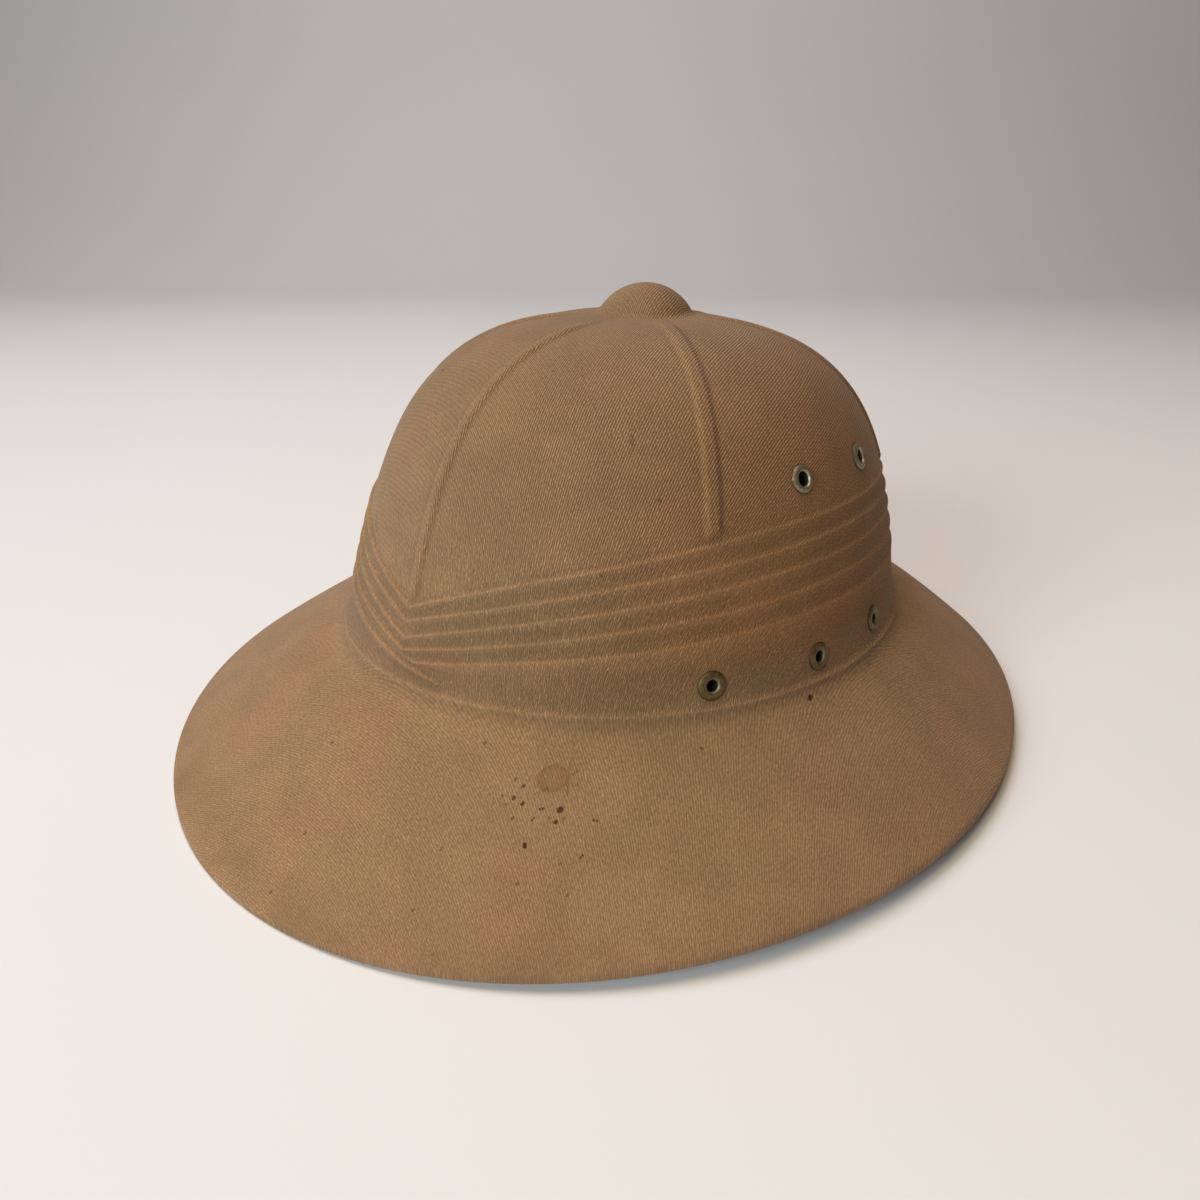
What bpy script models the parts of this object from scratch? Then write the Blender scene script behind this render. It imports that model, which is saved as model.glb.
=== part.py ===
"""Pith helmet: one pressed-fibre shell under khaki twill, with turned metal vent eyelets.

The crown, its round knob, the moulded ribs and band, and the brim are one pressed piece,
so they are one shell here. The hat's front faces -Y and it stands on its rim at z = 0.
"""

import math
from collections import namedtuple

import bmesh
import bpy
from mathutils import Vector

# Driving dimensions in metres.
BRIM_LENGTH = 0.330
BRIM_WIDTH = 0.2798
RIM_SIDE_RISE = 0.0046
RIM_FRONT_RISE = 0.0029
RIM_FLAT_LENGTH = 0.028
RIM_FOOT_WIDTH = 0.0012
RIM_CORNER_RADIUS = 0.0010
RIM_BEVEL = 0.0003
BRIM_BULGE = 0.0012
WALL = 0.0025

CROWN_LENGTH = 0.2179
CROWN_WIDTH = 0.1851
CROWN_TOP = 0.1335
CROWN_SETBACK = 0.0036
CROWN_LEAN = 0.0039
TOP_SETBACK = 0.0012
NECK_HEIGHT = 0.0402
NECK_SIDE_DROP = 0.0032
NECK_FRONT_LIFT = 0.0009
NECK_BEAD = 0.0008
NECK_HOLLOW_DEPTH = 0.0019
NECK_HOLLOW_WIDTH = 0.0045

KNOB_DIAMETER = 0.0316
KNOB_HEIGHT = 0.0093
KNOB_FILLET = 0.0020

# A rib's height at its middle and halfway to its edge, and what is left of it at its ends.
RIB_WIDTH = 0.0054
RIB_HEIGHT = 0.0013
RIB_SECTION = (1.0, 0.7)
RIB_TOP_SHARE = 0.2
RIB_FOOT_SHARE = 0.6

BAND_FRONT_HEIGHT = 0.0223
BAND_SIDE_HEIGHT = 0.0452
FOLD_STEP = 0.0010
FOLD_LEDGE = 0.0016
BAND_LEAD_IN = 0.0030
BAND_ROW_GAP = 0.0004
FOLD_ROOT = -0.4
OVERLAP_TURN = math.radians(12)

PIN_HOLE_DIAMETER = 0.0015
PIN_HOLE_TURN = math.radians(74)
PIN_HOLE_RUN = 0.0030

BARREL_WALL = 0.0004
CLINCH_DIAMETER = 0.0070
CLINCH_THICKNESS = 0.0006
CLEARANCE = 0.0003

# Plan shapes: 2 is an ellipse and more is squarer. The egg is the share by which the brim's
# front half is broader than its back half.
BRIM_SQUARENESS = 1.98
BRIM_EGG = 0.05
CROWN_SQUARENESS = 1.95

# Side views of the crown: how square its shoulder is, how flat its top is, and how far its
# wall leans in (below nought) or swells (above nought) on the way up.
Dome = namedtuple("Dome", "shoulder flatness swell")
FRONT_DOME = Dome(2.28, 3.02, -0.058)
BACK_DOME = Dome(2.47, 1.92, -0.028)
SIDE_DOME = Dome(2.48, 2.91, -0.061)

# Ribs run from the knob to the band: one each at the front and the back, two on each side.
RIB_TURNS = tuple(math.radians(angle) for angle in (0, 56, 124, 180, 236, 304))

# Folds of the moulded band, from the top down: heights of each fold's ledge above the neck,
# as shares of the band's height at the front (and back) and at the side.
# The sweep says how soon the ledge climbs on its way round from the front.
Fold = namedtuple("Fold", "front side sweep")
FOLDS = (
    Fold(1.00, 1.00, 2.35),
    Fold(0.81, 0.865, 2.4),
    Fold(0.62, 0.72, 2.45),
    Fold(0.455, 0.565, 2.55),
    Fold(0.305, 0.41, 2.65),
)

# Where a ledge fades out, the band's plain face stands this share of a fold's step out.
BAND_PLAIN_LIFTS = (0, 0, 0, 0, 0.1, -0.25)

# Where the right side's lowest fold crosses the left's, near the front and the back: how many
# ledges above it the left one lies hidden, and how fast each one shows and sinks again.
HIDDEN_LEDGES = 1.3
SHOWING_PACE = 2
SINKING_PACE = 4

# Eyelets. A vent's rise is its share of the crown's height above the neck.
# Half section of a flange: shares of the way from the bore to the flange's edge, and of the
# crest's height, from the inner lip outwards. The rest is one value for each: how far the
# edge turns under, how high the bore's inner edge stands, and the clinch's rounding.
FLANGE_SECTION = ((0.35, 1.0), (0.75, 0.75), (1.0, 0.15))
FLANGE_UNDERCUT = 0.2
BORE_LIP = 0.5
CLINCH_ROUNDING = 0.5
EyeletSize = namedtuple("EyeletSize", "bore flange crest")
Vent = namedtuple("Vent", "name turn rise size")
LOW_EYELET = EyeletSize(bore=0.0034, flange=0.0088, crest=0.0008)
HIGH_EYELET = EyeletSize(bore=0.0043, flange=0.0086, crest=0.0011)
VENTS = (
    Vent("low_front", 56.0, 0.067, LOW_EYELET),
    Vent("low_middle", 77.5, 0.070, LOW_EYELET),
    Vent("low_rear", 96.5, 0.082, LOW_EYELET),
    Vent("high_front", 76.5, 0.603, HIGH_EYELET),
    Vent("high_rear", 99.0, 0.603, HIGH_EYELET),
)

# How a corner's ring is weighed between the faces' ends and the corner itself.
KNOB_FOOT_SHARES = (0.3, 0.5, 0.2)
RIM_CORNER_SHARES = (0.25, 0.5, 0.25)

# How finely the shell is faceted.
COLUMNS_PER_SECTOR = 11
COLUMNS = COLUMNS_PER_SECTOR * len(RIB_TURNS)
CROWN_RINGS = 9
KNOB_SHARES = (0.30, 0.55, 0.77, 0.92)
INNER_KNOB_SHARES = (0.55, 0.92)
BRIM_SHARES = (0.16, 0.38, 0.70)
INNER_RISES = (0.03, 0.15, 0.28, 0.40, 0.51, 0.61, 0.70, 0.79, 0.88, 0.95)
INNER_BRIM_SHARES = (0.0, 0.05, 0.14, 0.45, 0.84)
EYELET_SIDES = 12
STEP = 0.001


def signed_power(value, power):
    return math.copysign(abs(value) ** power, value)


def blend(start, end, share):
    return start + (end - start) * share


def limited(value):
    return min(max(value, 0.0), 1.0)


def weighted(points, shares):
    return sum((point * share for point, share in zip(points, shares)), Vector())


def outline(turn, squareness):
    """Sideways and forward shares of a rounded oval, a turn away from the front."""
    return (signed_power(math.sin(turn), 2 / squareness), signed_power(math.cos(turn), 2 / squareness))


def dome_share(dome, rise):
    """Share of the neck's radius that is left at a share of the crown's height."""
    narrowing = max(0.0, 1 - rise ** dome.shoulder) ** (1 / dome.flatness)
    return narrowing * (1 + 4 * dome.swell * rise * (1 - rise))


def neck_height(turn):
    return NECK_HEIGHT - NECK_SIDE_DROP * math.sin(turn) ** 2 + NECK_FRONT_LIFT * math.cos(turn)


def crown_middle(rise):
    """Distance back of the crown's middle, which leans back on its way up."""
    return CROWN_SETBACK + CROWN_LEAN * rise + TOP_SETBACK * rise**2


def crown_point(turn, rise):
    sideways, ahead = outline(turn, CROWN_SQUARENESS)
    dome = FRONT_DOME if ahead > 0 else BACK_DOME
    x = CROWN_WIDTH / 2 * sideways * dome_share(SIDE_DOME, rise)
    y = crown_middle(rise) - CROWN_LENGTH / 2 * ahead * dome_share(dome, rise)
    return Vector((x, y, blend(neck_height(turn), CROWN_TOP, rise)))


def rise_at_height(turn, height):
    return (height - neck_height(turn)) / (CROWN_TOP - neck_height(turn))


def crown_centre():
    return Vector((0, crown_middle(1), CROWN_TOP))


def rise_at_radius(turn, radius):
    """Rise at which the crown is a radius away from its top's centre, seen from above."""
    low, high = 0.5, 1.0
    for _ in range(40):
        rise = (low + high) / 2
        if (crown_point(turn, rise) - crown_centre()).to_2d().length > radius:
            low = rise
        else:
            high = rise
    return low


def knob_foot_radius():
    return KNOB_DIAMETER / 2 + KNOB_FILLET


def knob_point(turn, share):
    """Point of the knob, a spherical cap, at a share of its radius."""
    radius = share * KNOB_DIAMETER / 2
    away = crown_point(turn, rise_at_radius(turn, knob_foot_radius())) - crown_centre()
    cap_radius = ((KNOB_DIAMETER / 2) ** 2 + KNOB_HEIGHT**2) / (2 * KNOB_HEIGHT)
    height = KNOB_HEIGHT - cap_radius + math.sqrt(cap_radius**2 - radius**2)
    across = away.to_2d().normalized() * radius
    return crown_centre() + Vector((across.x, across.y, height))


def rim_point(turn):
    """Outermost point of the rim, on the level that this stretch of the rim stands at."""
    sideways, ahead = outline(turn, BRIM_SQUARENESS)
    flat_share = (RIM_FLAT_LENGTH / BRIM_WIDTH) ** 2
    off_flat = max(0.0, math.sin(turn) ** 2 - flat_share) / (1 - flat_share)
    lift = (RIM_SIDE_RISE + RIM_FRONT_RISE * math.cos(turn)) * off_flat
    x = BRIM_WIDTH / 2 * sideways * (1 + BRIM_EGG * ahead)
    return Vector((x, -BRIM_LENGTH / 2 * ahead, lift))


def brim_run(turn):
    """Level vector from the crown's foot to the rim."""
    run = rim_point(turn) - crown_point(turn, 0)
    run.z = 0
    return run


def rim_edge_height(turn):
    """Height of the brim's upper edge above the rim's foot, from the wall and the slope."""
    slope = (crown_point(turn, 0).z - rim_point(turn).z) / brim_run(turn).length
    return WALL * math.sqrt(1 + slope**2) - RIM_FOOT_WIDTH * slope


def brim_point(turn, share):
    """Point of the brim's upper face: hollow beside the crown, then gently full to the rim."""
    foot, run = crown_point(turn, 0), brim_run(turn)
    edge_height = rim_point(turn).z + rim_edge_height(turn)
    away = share * run.length / NECK_HOLLOW_WIDTH
    hollow = NECK_HOLLOW_DEPTH * away * math.exp(1 - away)
    bulge = 4 * BRIM_BULGE * share * (1 - share)
    point = foot + run * share
    point.z = blend(foot.z, edge_height, share) - hollow + bulge
    return point


def outward(point_at, turn, share):
    """Outward direction of a surface whose shares run down or outwards on it."""
    ends = (limited(share - STEP), limited(share + STEP))
    down = point_at(turn, ends[1]) - point_at(turn, ends[0])
    around = point_at(turn + STEP, share) - point_at(turn - STEP, share)
    return down.cross(around).normalized()


def crown_drop(turn, drop):
    """The crown again, with its share counted from the top down."""
    return crown_point(turn, 1 - drop)


def lifted(point_at, turn, share, lift):
    return point_at(turn, share) + outward(point_at, turn, share) * lift


def lifted_crown(turn, rise, lift):
    return lifted(crown_drop, turn, 1 - rise, lift)


def fold_height(fold, turn):
    """Height of a fold's ledge: low at the front and the back, swept up to the side."""
    quarter = 1 - math.asin(abs(math.cos(turn))) / (math.pi / 2)
    front, side = fold.front * BAND_FRONT_HEIGHT, fold.side * BAND_SIDE_HEIGHT
    return NECK_HEIGHT + blend(front, side, 1 - (1 - quarter) ** fold.sweep)


def crossing_height(turn):
    """Height of the lowest fold that starts on the wearer's right.

    Both of its ends cross over to the left, one at the front and one at the back, and run
    down there to the neck, which the line then follows.
    """
    lowest = fold_height(FOLDS[-1], turn)
    if math.sin(turn) <= 0:
        return lowest
    start, foot = fold_height(FOLDS[-1], 0), neck_height(turn) + 3 * NECK_BEAD
    return max(foot, blend(start, foot, turn_from_end(turn) / OVERLAP_TURN))


def turn_from_end(turn):
    """Turn from the nearer of the hat's front and back."""
    return math.asin(min(1.0, abs(math.sin(turn))))


def crossing_lines(turn):
    """Heights and strengths of the left lowest fold, and of the right one that crosses it."""
    crossing = crossing_height(turn)
    hidden = crossing + HIDDEN_LEDGES * FOLD_LEDGE
    if math.sin(turn) <= 0:
        return ((hidden, 0.0), (crossing, 1.0))
    share = turn_from_end(turn) / OVERLAP_TURN
    emerging = max(hidden, fold_height(FOLDS[-1], turn))
    showing, sinking = limited(SHOWING_PACE * share), limited(SINKING_PACE * (1 - share))
    return ((emerging, showing), (crossing, sinking))


def band_profile(turn):
    """Heights and lifts of the band's ledges at a turn, from the top down."""
    profile = [(fold_height(FOLDS[0], turn) + BAND_LEAD_IN, 0.0)]
    lines = [(fold_height(fold, turn), 1.0) for fold in FOLDS[:-1]]
    for number, (height, strength) in enumerate(lines + list(crossing_lines(turn))):
        plain = BAND_PLAIN_LIFTS[number]
        for end, lift in ((FOLD_LEDGE / 2, FOLD_ROOT), (-FOLD_LEDGE / 2, 1 + FOLD_ROOT)):
            below = min(height + end, profile[-1][0] - BAND_ROW_GAP)
            profile.append((below, FOLD_STEP * blend(plain, lift, strength)))
    return profile + [(neck_height(turn), BAND_PLAIN_LIFTS[-1] * FOLD_STEP)]


def band_lift(turn, height):
    """How far the band stands out of the plain crown at a height."""
    profile = band_profile(turn)
    if height >= profile[0][0]:
        return 0.0
    for upper, lower in zip(profile, profile[1:]):
        if height >= lower[0]:
            return blend(lower[1], upper[1], (height - lower[0]) / (upper[0] - lower[0]))
    return profile[-1][1]


def rib_half_turn(turn, rise):
    pace = (crown_point(turn + STEP, rise) - crown_point(turn - STEP, rise)).length / (2 * STEP)
    return RIB_WIDTH / 2 / pace


def column_turns(rise, spread):
    """Turns of a ring's columns: gathered at the ribs, or more even as spread nears 1."""
    turns = []
    for number, rib in enumerate(RIB_TURNS):
        following = RIB_TURNS[number + 1] if number + 1 < len(RIB_TURNS) else 2 * math.pi
        start = rib + rib_half_turn(rib, rise)
        end = following - rib_half_turn(following, rise)
        gaps = COLUMNS_PER_SECTOR - 4
        gathered = [rib, (rib + start) / 2]
        gathered += [blend(start, end, step / gaps) for step in range(gaps + 1)]
        gathered.append((end + following) / 2)
        for column, turn in enumerate(gathered):
            even = 2 * math.pi * (number * COLUMNS_PER_SECTOR + column) / COLUMNS
            turns.append(blend(turn, even, spread))
    return turns


def even_turns():
    return [2 * math.pi * column / COLUMNS for column in range(COLUMNS)]


def rib_lift(column):
    """Height of the ribs' round cross-section at a column."""
    from_rib = min(column % COLUMNS_PER_SECTOR, -column % COLUMNS_PER_SECTOR)
    return RIB_HEIGHT * RIB_SECTION[from_rib] if from_rib < len(RIB_SECTION) else 0.0


def knob_rings():
    turns = column_turns(rise_at_radius(0, knob_foot_radius()), 0)
    rings = [[knob_point(turn, share) for turn in turns] for share in KNOB_SHARES]
    foot = []
    for turn in turns:
        cap_end = knob_point(turn, 1)
        crown_end = crown_point(turn, rise_at_radius(turn, knob_foot_radius()))
        corner = crown_point(turn, rise_at_radius(turn, KNOB_DIAMETER / 2))
        foot.append(weighted((cap_end, corner, crown_end), KNOB_FOOT_SHARES))
    return rings + [foot]


def crown_rings():
    """Rings of the ribbed crown, from the knob's foot down to the band."""
    rings = []
    for number in range(CROWN_RINGS + 1):
        share = number / CROWN_RINGS
        turns = column_turns(crown_ring_rise(RIB_TURNS[1], share), 0)
        height = RIB_TOP_SHARE if number == 0 else 1.0
        ring = []
        for column, turn in enumerate(turns):
            rise = crown_ring_rise(turn, share)
            ring.append(lifted_crown(turn, rise, rib_lift(column) * height))
        rings.append(ring)
    return rings


def crown_ring_rise(turn, share):
    """Rise of a crown ring, evenly spaced by the angle that its height subtends."""
    high = math.asin(rise_at_radius(turn, knob_foot_radius()))
    low = math.asin(rise_at_height(turn, band_profile(turn)[0][0]))
    return math.sin(blend(high, low, share))


def band_rings():
    """Two rings to each ledge of the band, where it steps out over the one below."""
    rings = []
    count = len(band_profile(0))
    top_rise = crown_ring_rise(RIB_TURNS[1], 1)
    for row in range(1, count - 1):
        turns = column_turns(top_rise, row / (count - 1))
        ring = []
        for column, turn in enumerate(turns):
            height, lift = band_profile(turn)[row]
            lift += rib_lift(column) * RIB_FOOT_SHARE if row == 1 else 0.0
            ring.append(lifted_crown(turn, rise_at_height(turn, height), lift))
        rings.append(ring)
    return rings


def neck_rings():
    """The bead round the crown's foot and the start of the hollow below it."""
    turns = even_turns()
    rise, lift = NECK_BEAD / (CROWN_TOP - NECK_HEIGHT), BAND_PLAIN_LIFTS[-1] * FOLD_STEP
    wall_end = [lifted_crown(turn, rise, lift) for turn in turns]
    bead = [lifted(brim_point, turn, 0, NECK_BEAD) for turn in turns]
    below = [brim_point(turn, 2 * NECK_BEAD / brim_run(turn).length) for turn in turns]
    hollow = [brim_point(turn, NECK_HOLLOW_WIDTH / brim_run(turn).length) for turn in turns]
    return [wall_end, bead, below, hollow]


def rim_rings():
    """The rim: a rounded corner, an upright edge and the narrow flat foot that it stands on."""
    rings = [[] for _ in range(6)]
    for turn in even_turns():
        edge, run = brim_point(turn, 1), brim_run(turn)
        inward = -run.normalized()
        slope_end = brim_point(turn, 1 - RIM_CORNER_RADIUS / run.length)
        face_top = edge - Vector((0, 0, RIM_CORNER_RADIUS))
        foot = rim_point(turn)
        points = (
            slope_end,
            weighted((slope_end, edge, face_top), RIM_CORNER_SHARES),
            face_top,
            foot + Vector((0, 0, RIM_BEVEL)),
            foot + inward * RIM_BEVEL,
            foot + inward * RIM_FOOT_WIDTH,
        )
        for ring, point in zip(rings, points):
            ring.append(point)
    return rings


def inner_rings():
    """The plain inside, one wall in from the outside, from the rim up into the knob."""
    turns = even_turns()
    rings = []
    for share in reversed(INNER_BRIM_SHARES):
        rings.append([lifted(brim_point, turn, share, -WALL) for turn in turns])
    for rise in INNER_RISES:
        rings.append([lifted_crown(turn, rise, -WALL) for turn in turns])
    foot_rises = [rise_at_radius(turn, knob_foot_radius()) for turn in turns]
    rings.append([lifted_crown(turn, rise, -WALL) for turn, rise in zip(turns, foot_rises)])
    for share in reversed(INNER_KNOB_SHARES):
        rings.append([lifted(knob_point, turn, share, -WALL) for turn in turns])
    return rings


def lofted_mesh(name, top, rings, end):
    """One closed body: a point, rings of equal columns joined in order, and a last point."""
    body = bmesh.new()
    rows = [[body.verts.new(point) for point in ring] for ring in rings]
    first, last = body.verts.new(top), body.verts.new(end)
    for column in range(COLUMNS):
        beside = (column + 1) % COLUMNS
        body.faces.new((first, rows[0][column], rows[0][beside]))
        body.faces.new((last, rows[-1][beside], rows[-1][column]))
        for upper, lower in zip(rows, rows[1:]):
            body.faces.new((upper[column], lower[column], lower[beside], upper[beside]))
    mesh = bpy.data.meshes.new(name)
    body.to_mesh(mesh)
    body.free()
    mesh.shade_smooth()
    mesh.set_sharp_from_angle(angle=math.radians(50))
    return mesh


def make_shell(collection):
    rings = knob_rings() + crown_rings() + band_rings() + neck_rings()
    turns = even_turns()
    rings += [[brim_point(turn, share) for turn in turns] for share in BRIM_SHARES]
    rings += rim_rings() + inner_rings()
    top = crown_centre() + Vector((0, 0, KNOB_HEIGHT))
    mesh = lofted_mesh("helmet_shell", top, rings, top - Vector((0, 0, WALL)))
    shell = bpy.data.objects.new("helmet_shell", mesh)
    collection.objects.link(shell)
    return shell


def vent_place(vent, side):
    """Place on the shell's outer face, and outward direction there, on the side +1 or -1."""
    turn = side * math.radians(vent.turn)
    lift = band_lift(turn, crown_point(turn, vent.rise).z)
    place = lifted_crown(turn, vent.rise, lift)
    return place, outward(crown_drop, turn, 1 - vent.rise), WALL + lift


def pin_place(side):
    """Place and direction of the pin hole beside the crown's foot."""
    turn = side * PIN_HOLE_TURN
    share = PIN_HOLE_RUN / brim_run(turn).length
    return brim_point(turn, share), outward(brim_point, turn, share)


def make_cutter(name, place, direction, radius, collection):
    """A round cutter that runs through the wall and well past both of its faces."""
    bpy.ops.mesh.primitive_cylinder_add(vertices=EYELET_SIDES, radius=radius, depth=6 * WALL)
    cutter = bpy.context.object
    cutter.name = name
    cutter.rotation_euler = direction.to_track_quat("Z", "Y").to_euler()
    cutter.location = place - direction * WALL / 2
    cutter.hide_render = True
    cutter.display_type = "WIRE"
    for holder in tuple(cutter.users_collection):
        holder.objects.unlink(cutter)
    collection.objects.link(cutter)


def cut_holes(shell, cutters):
    cut = shell.modifiers.new("holes", "BOOLEAN")
    cut.operation = "DIFFERENCE"
    cut.operand_type = "COLLECTION"
    cut.collection = cutters
    cut.solver = "EXACT"


def eyelet_profile(size, grip):
    """Half section of an eyelet: domed flange, barrel through the wall, clinched inner end."""
    bore, flange = size.bore / 2, size.flange / 2
    barrel, clinch = bore + BARREL_WALL, CLINCH_DIAMETER / 2
    rounding = CLINCH_ROUNDING * CLINCH_THICKNESS
    dome = [(blend(bore, flange, share), size.crest * crest) for share, crest in FLANGE_SECTION]
    return dome + [
        (flange - FLANGE_UNDERCUT * size.crest, 0),
        (barrel, 0),
        (barrel, -grip),
        (clinch, -grip),
        (clinch - rounding, -grip - CLINCH_THICKNESS),
        (bore, -grip - rounding),
        (bore, BORE_LIP * size.crest),
    ]


def make_eyelet(name, size, place, direction, wall, material, shell):
    """A turned eyelet that clasps the wall, a clearance away from both of its faces."""
    profile = eyelet_profile(size, wall + 2 * CLEARANCE)
    mesh = bpy.data.meshes.new(name)
    points = [(radius, 0, height) for radius, height in profile]
    edges = [(number, (number + 1) % len(points)) for number in range(len(points))]
    mesh.from_pydata(points, edges, [])
    mesh.materials.append(material)
    eyelet = bpy.data.objects.new(name, mesh)
    shell.users_collection[0].objects.link(eyelet)
    turned = eyelet.modifiers.new("turned", "SCREW")
    turned.axis = "Z"
    turned.angle = 2 * math.pi
    turned.steps = turned.render_steps = EYELET_SIDES
    turned.use_merge_vertices = True
    turned.merge_threshold = 0.00001
    turned.use_smooth_shade = True
    eyelet.rotation_euler = direction.to_track_quat("Z", "Y").to_euler()
    eyelet.location = place + direction * CLEARANCE
    eyelet.parent = shell


def make_material(name, colour, roughness, metallic):
    material = bpy.data.materials.new(name)
    material.use_nodes = True
    surface = material.node_tree.nodes["Principled BSDF"]
    surface.inputs["Base Color"].default_value = (*colour, 1)
    surface.inputs["Roughness"].default_value = roughness
    surface.inputs["Metallic"].default_value = metallic
    return material


def make_collection(name):
    collection = bpy.data.collections.new(name)
    bpy.context.scene.collection.children.link(collection)
    return collection


def make_helmet():
    for leftover in tuple(bpy.data.objects):
        bpy.data.objects.remove(leftover)
    helmet, cutters = make_collection("pith_helmet"), make_collection("cutters")
    shell = make_shell(helmet)
    shell.data.materials.append(make_material("khaki_twill", (0.27, 0.18, 0.10), 0.9, 0.0))
    metals = {
        LOW_EYELET: make_material("tarnished_brass", (0.15, 0.12, 0.07), 0.5, 0.8),
        HIGH_EYELET: make_material("grey_plated_metal", (0.30, 0.30, 0.25), 0.4, 0.9),
    }
    for side, side_name in ((1, "left"), (-1, "right")):
        for vent in VENTS:
            place, direction, wall = vent_place(vent, side)
            label = f"{side_name}_{vent.name}"
            hole_radius = vent.size.bore / 2 + BARREL_WALL + CLEARANCE
            make_cutter(f"cut_{label}", place, direction, hole_radius, cutters)
            metal = metals[vent.size]
            make_eyelet(f"eyelet_{label}", vent.size, place, direction, wall, metal, shell)
        pin, direction = pin_place(side)
        make_cutter(f"cut_{side_name}_pin", pin, direction, PIN_HOLE_DIAMETER / 2, cutters)
    cut_holes(shell, cutters)


make_helmet()
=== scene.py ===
import math
from collections import namedtuple

import bpy
import numpy as np
from mathutils import Matrix, Vector
from mathutils.bvhtree import BVHTree


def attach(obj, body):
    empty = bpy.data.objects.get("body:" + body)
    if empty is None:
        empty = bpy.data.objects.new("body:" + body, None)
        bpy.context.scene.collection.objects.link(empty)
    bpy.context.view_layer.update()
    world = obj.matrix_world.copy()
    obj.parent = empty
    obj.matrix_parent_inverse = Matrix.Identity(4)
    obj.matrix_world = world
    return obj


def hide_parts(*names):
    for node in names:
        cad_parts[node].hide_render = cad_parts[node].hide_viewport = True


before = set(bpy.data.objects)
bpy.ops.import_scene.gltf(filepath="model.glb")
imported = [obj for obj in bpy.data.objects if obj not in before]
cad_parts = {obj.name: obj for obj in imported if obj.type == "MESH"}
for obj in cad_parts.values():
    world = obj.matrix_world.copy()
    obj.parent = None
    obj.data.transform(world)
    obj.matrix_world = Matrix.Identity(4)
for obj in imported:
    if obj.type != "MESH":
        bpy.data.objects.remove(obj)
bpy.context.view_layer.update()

# The shell: crown, knob, ribs, band and brim are one piece of pressed fibre board. Khaki
# cotton twill is glued over it in the mould, so the weave runs over every rib and fold.
BRIM_LENGTH, BRIM_WIDTH = 0.330, 0.2798
RIM_SIDE_RISE, RIM_FRONT_RISE, RIM_FLAT_LENGTH = 0.0046, 0.0029, 0.028
RIM_FOOT_WIDTH, RIM_CORNER_RADIUS, RIM_BEVEL = 0.0012, 0.0010, 0.0003
BRIM_BULGE, WALL = 0.0012, 0.0025
CROWN_LENGTH, CROWN_WIDTH, CROWN_TOP = 0.2179, 0.1851, 0.1335
CROWN_SETBACK, CROWN_LEAN, TOP_SETBACK = 0.0036, 0.0039, 0.0012
NECK_HEIGHT, NECK_SIDE_DROP, NECK_FRONT_LIFT = 0.0402, 0.0032, 0.0009
NECK_BEAD, NECK_BEAD_REACH = 0.0010, 0.0014
NECK_HOLLOW_DEPTH, NECK_HOLLOW_WIDTH = 0.0019, 0.0045
KNOB_DIAMETER, KNOB_HEIGHT, KNOB_FILLET = 0.0316, 0.0093, 0.0026
BRIM_SQUARENESS, BRIM_EGG, CROWN_SQUARENESS = 1.98, 0.05, 1.95
Dome = namedtuple("Dome", "shoulder flatness swell")
FRONT_DOME = Dome(2.28, 3.02, -0.058)
BACK_DOME = Dome(2.47, 1.92, -0.028)
SIDE_DOME = Dome(2.48, 2.91, -0.061)
GORES = 6
COLUMNS_PER_GORE = 60
COLUMNS = GORES * COLUMNS_PER_GORE
HALVINGS = 40


def signed_power(value, power):
    return np.sign(value) * np.abs(value) ** power


def blend(start, end, share):
    return start + (end - start) * share


def smooth(value):
    value = np.clip(value, 0, 1)
    return value * value * (3 - 2 * value)


def outline(turn, squareness):
    """Sideways and forward shares of a rounded oval, a turn away from the front."""
    return signed_power(np.sin(turn), 2 / squareness), signed_power(np.cos(turn), 2 / squareness)


def dome_share(dome, rise):
    narrowing = np.maximum(0, 1 - np.maximum(rise, 0) ** dome.shoulder) ** (1 / dome.flatness)
    return narrowing * (1 + 4 * dome.swell * rise * (1 - rise))


def neck_height(turn):
    return NECK_HEIGHT - NECK_SIDE_DROP * np.sin(turn) ** 2 + NECK_FRONT_LIFT * np.cos(turn)


def crown_middle(rise):
    return CROWN_SETBACK + CROWN_LEAN * rise + TOP_SETBACK * rise**2


def crown_point(turn, rise):
    sideways, ahead = outline(turn, CROWN_SQUARENESS)
    lengthwise = np.where(ahead > 0, dome_share(FRONT_DOME, rise), dome_share(BACK_DOME, rise))
    x = CROWN_WIDTH / 2 * sideways * dome_share(SIDE_DOME, rise)
    y = crown_middle(rise) - CROWN_LENGTH / 2 * ahead * lengthwise
    return np.stack((x, y, blend(neck_height(turn), CROWN_TOP, rise)), axis=-1)


def rise_at_height(turn, height):
    return (height - neck_height(turn)) / (CROWN_TOP - neck_height(turn))


CROWN_CENTRE = np.array((0, crown_middle(1), CROWN_TOP))


def rise_at_radius(turn, radius):
    low, high = np.full_like(turn, 0.5), np.full_like(turn, 1.0)
    for _ in range(HALVINGS):
        rise = (low + high) / 2
        away = crown_point(turn, rise) - CROWN_CENTRE
        outside = np.hypot(away[..., 0], away[..., 1]) > radius
        low, high = np.where(outside, rise, low), np.where(outside, high, rise)
    return low


def rim_point(turn):
    sideways, ahead = outline(turn, BRIM_SQUARENESS)
    flat_share = (RIM_FLAT_LENGTH / BRIM_WIDTH) ** 2
    off_flat = np.maximum(0, np.sin(turn) ** 2 - flat_share) / (1 - flat_share)
    lift = (RIM_SIDE_RISE + RIM_FRONT_RISE * np.cos(turn)) * off_flat
    x = BRIM_WIDTH / 2 * sideways * (1 + BRIM_EGG * ahead)
    return np.stack((x, -BRIM_LENGTH / 2 * ahead, lift), axis=-1)


def brim_run(turn):
    run = rim_point(turn) - crown_point(turn, 0)
    run[..., 2] = 0
    return run


def length(vectors):
    return np.linalg.norm(vectors, axis=-1)


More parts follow.
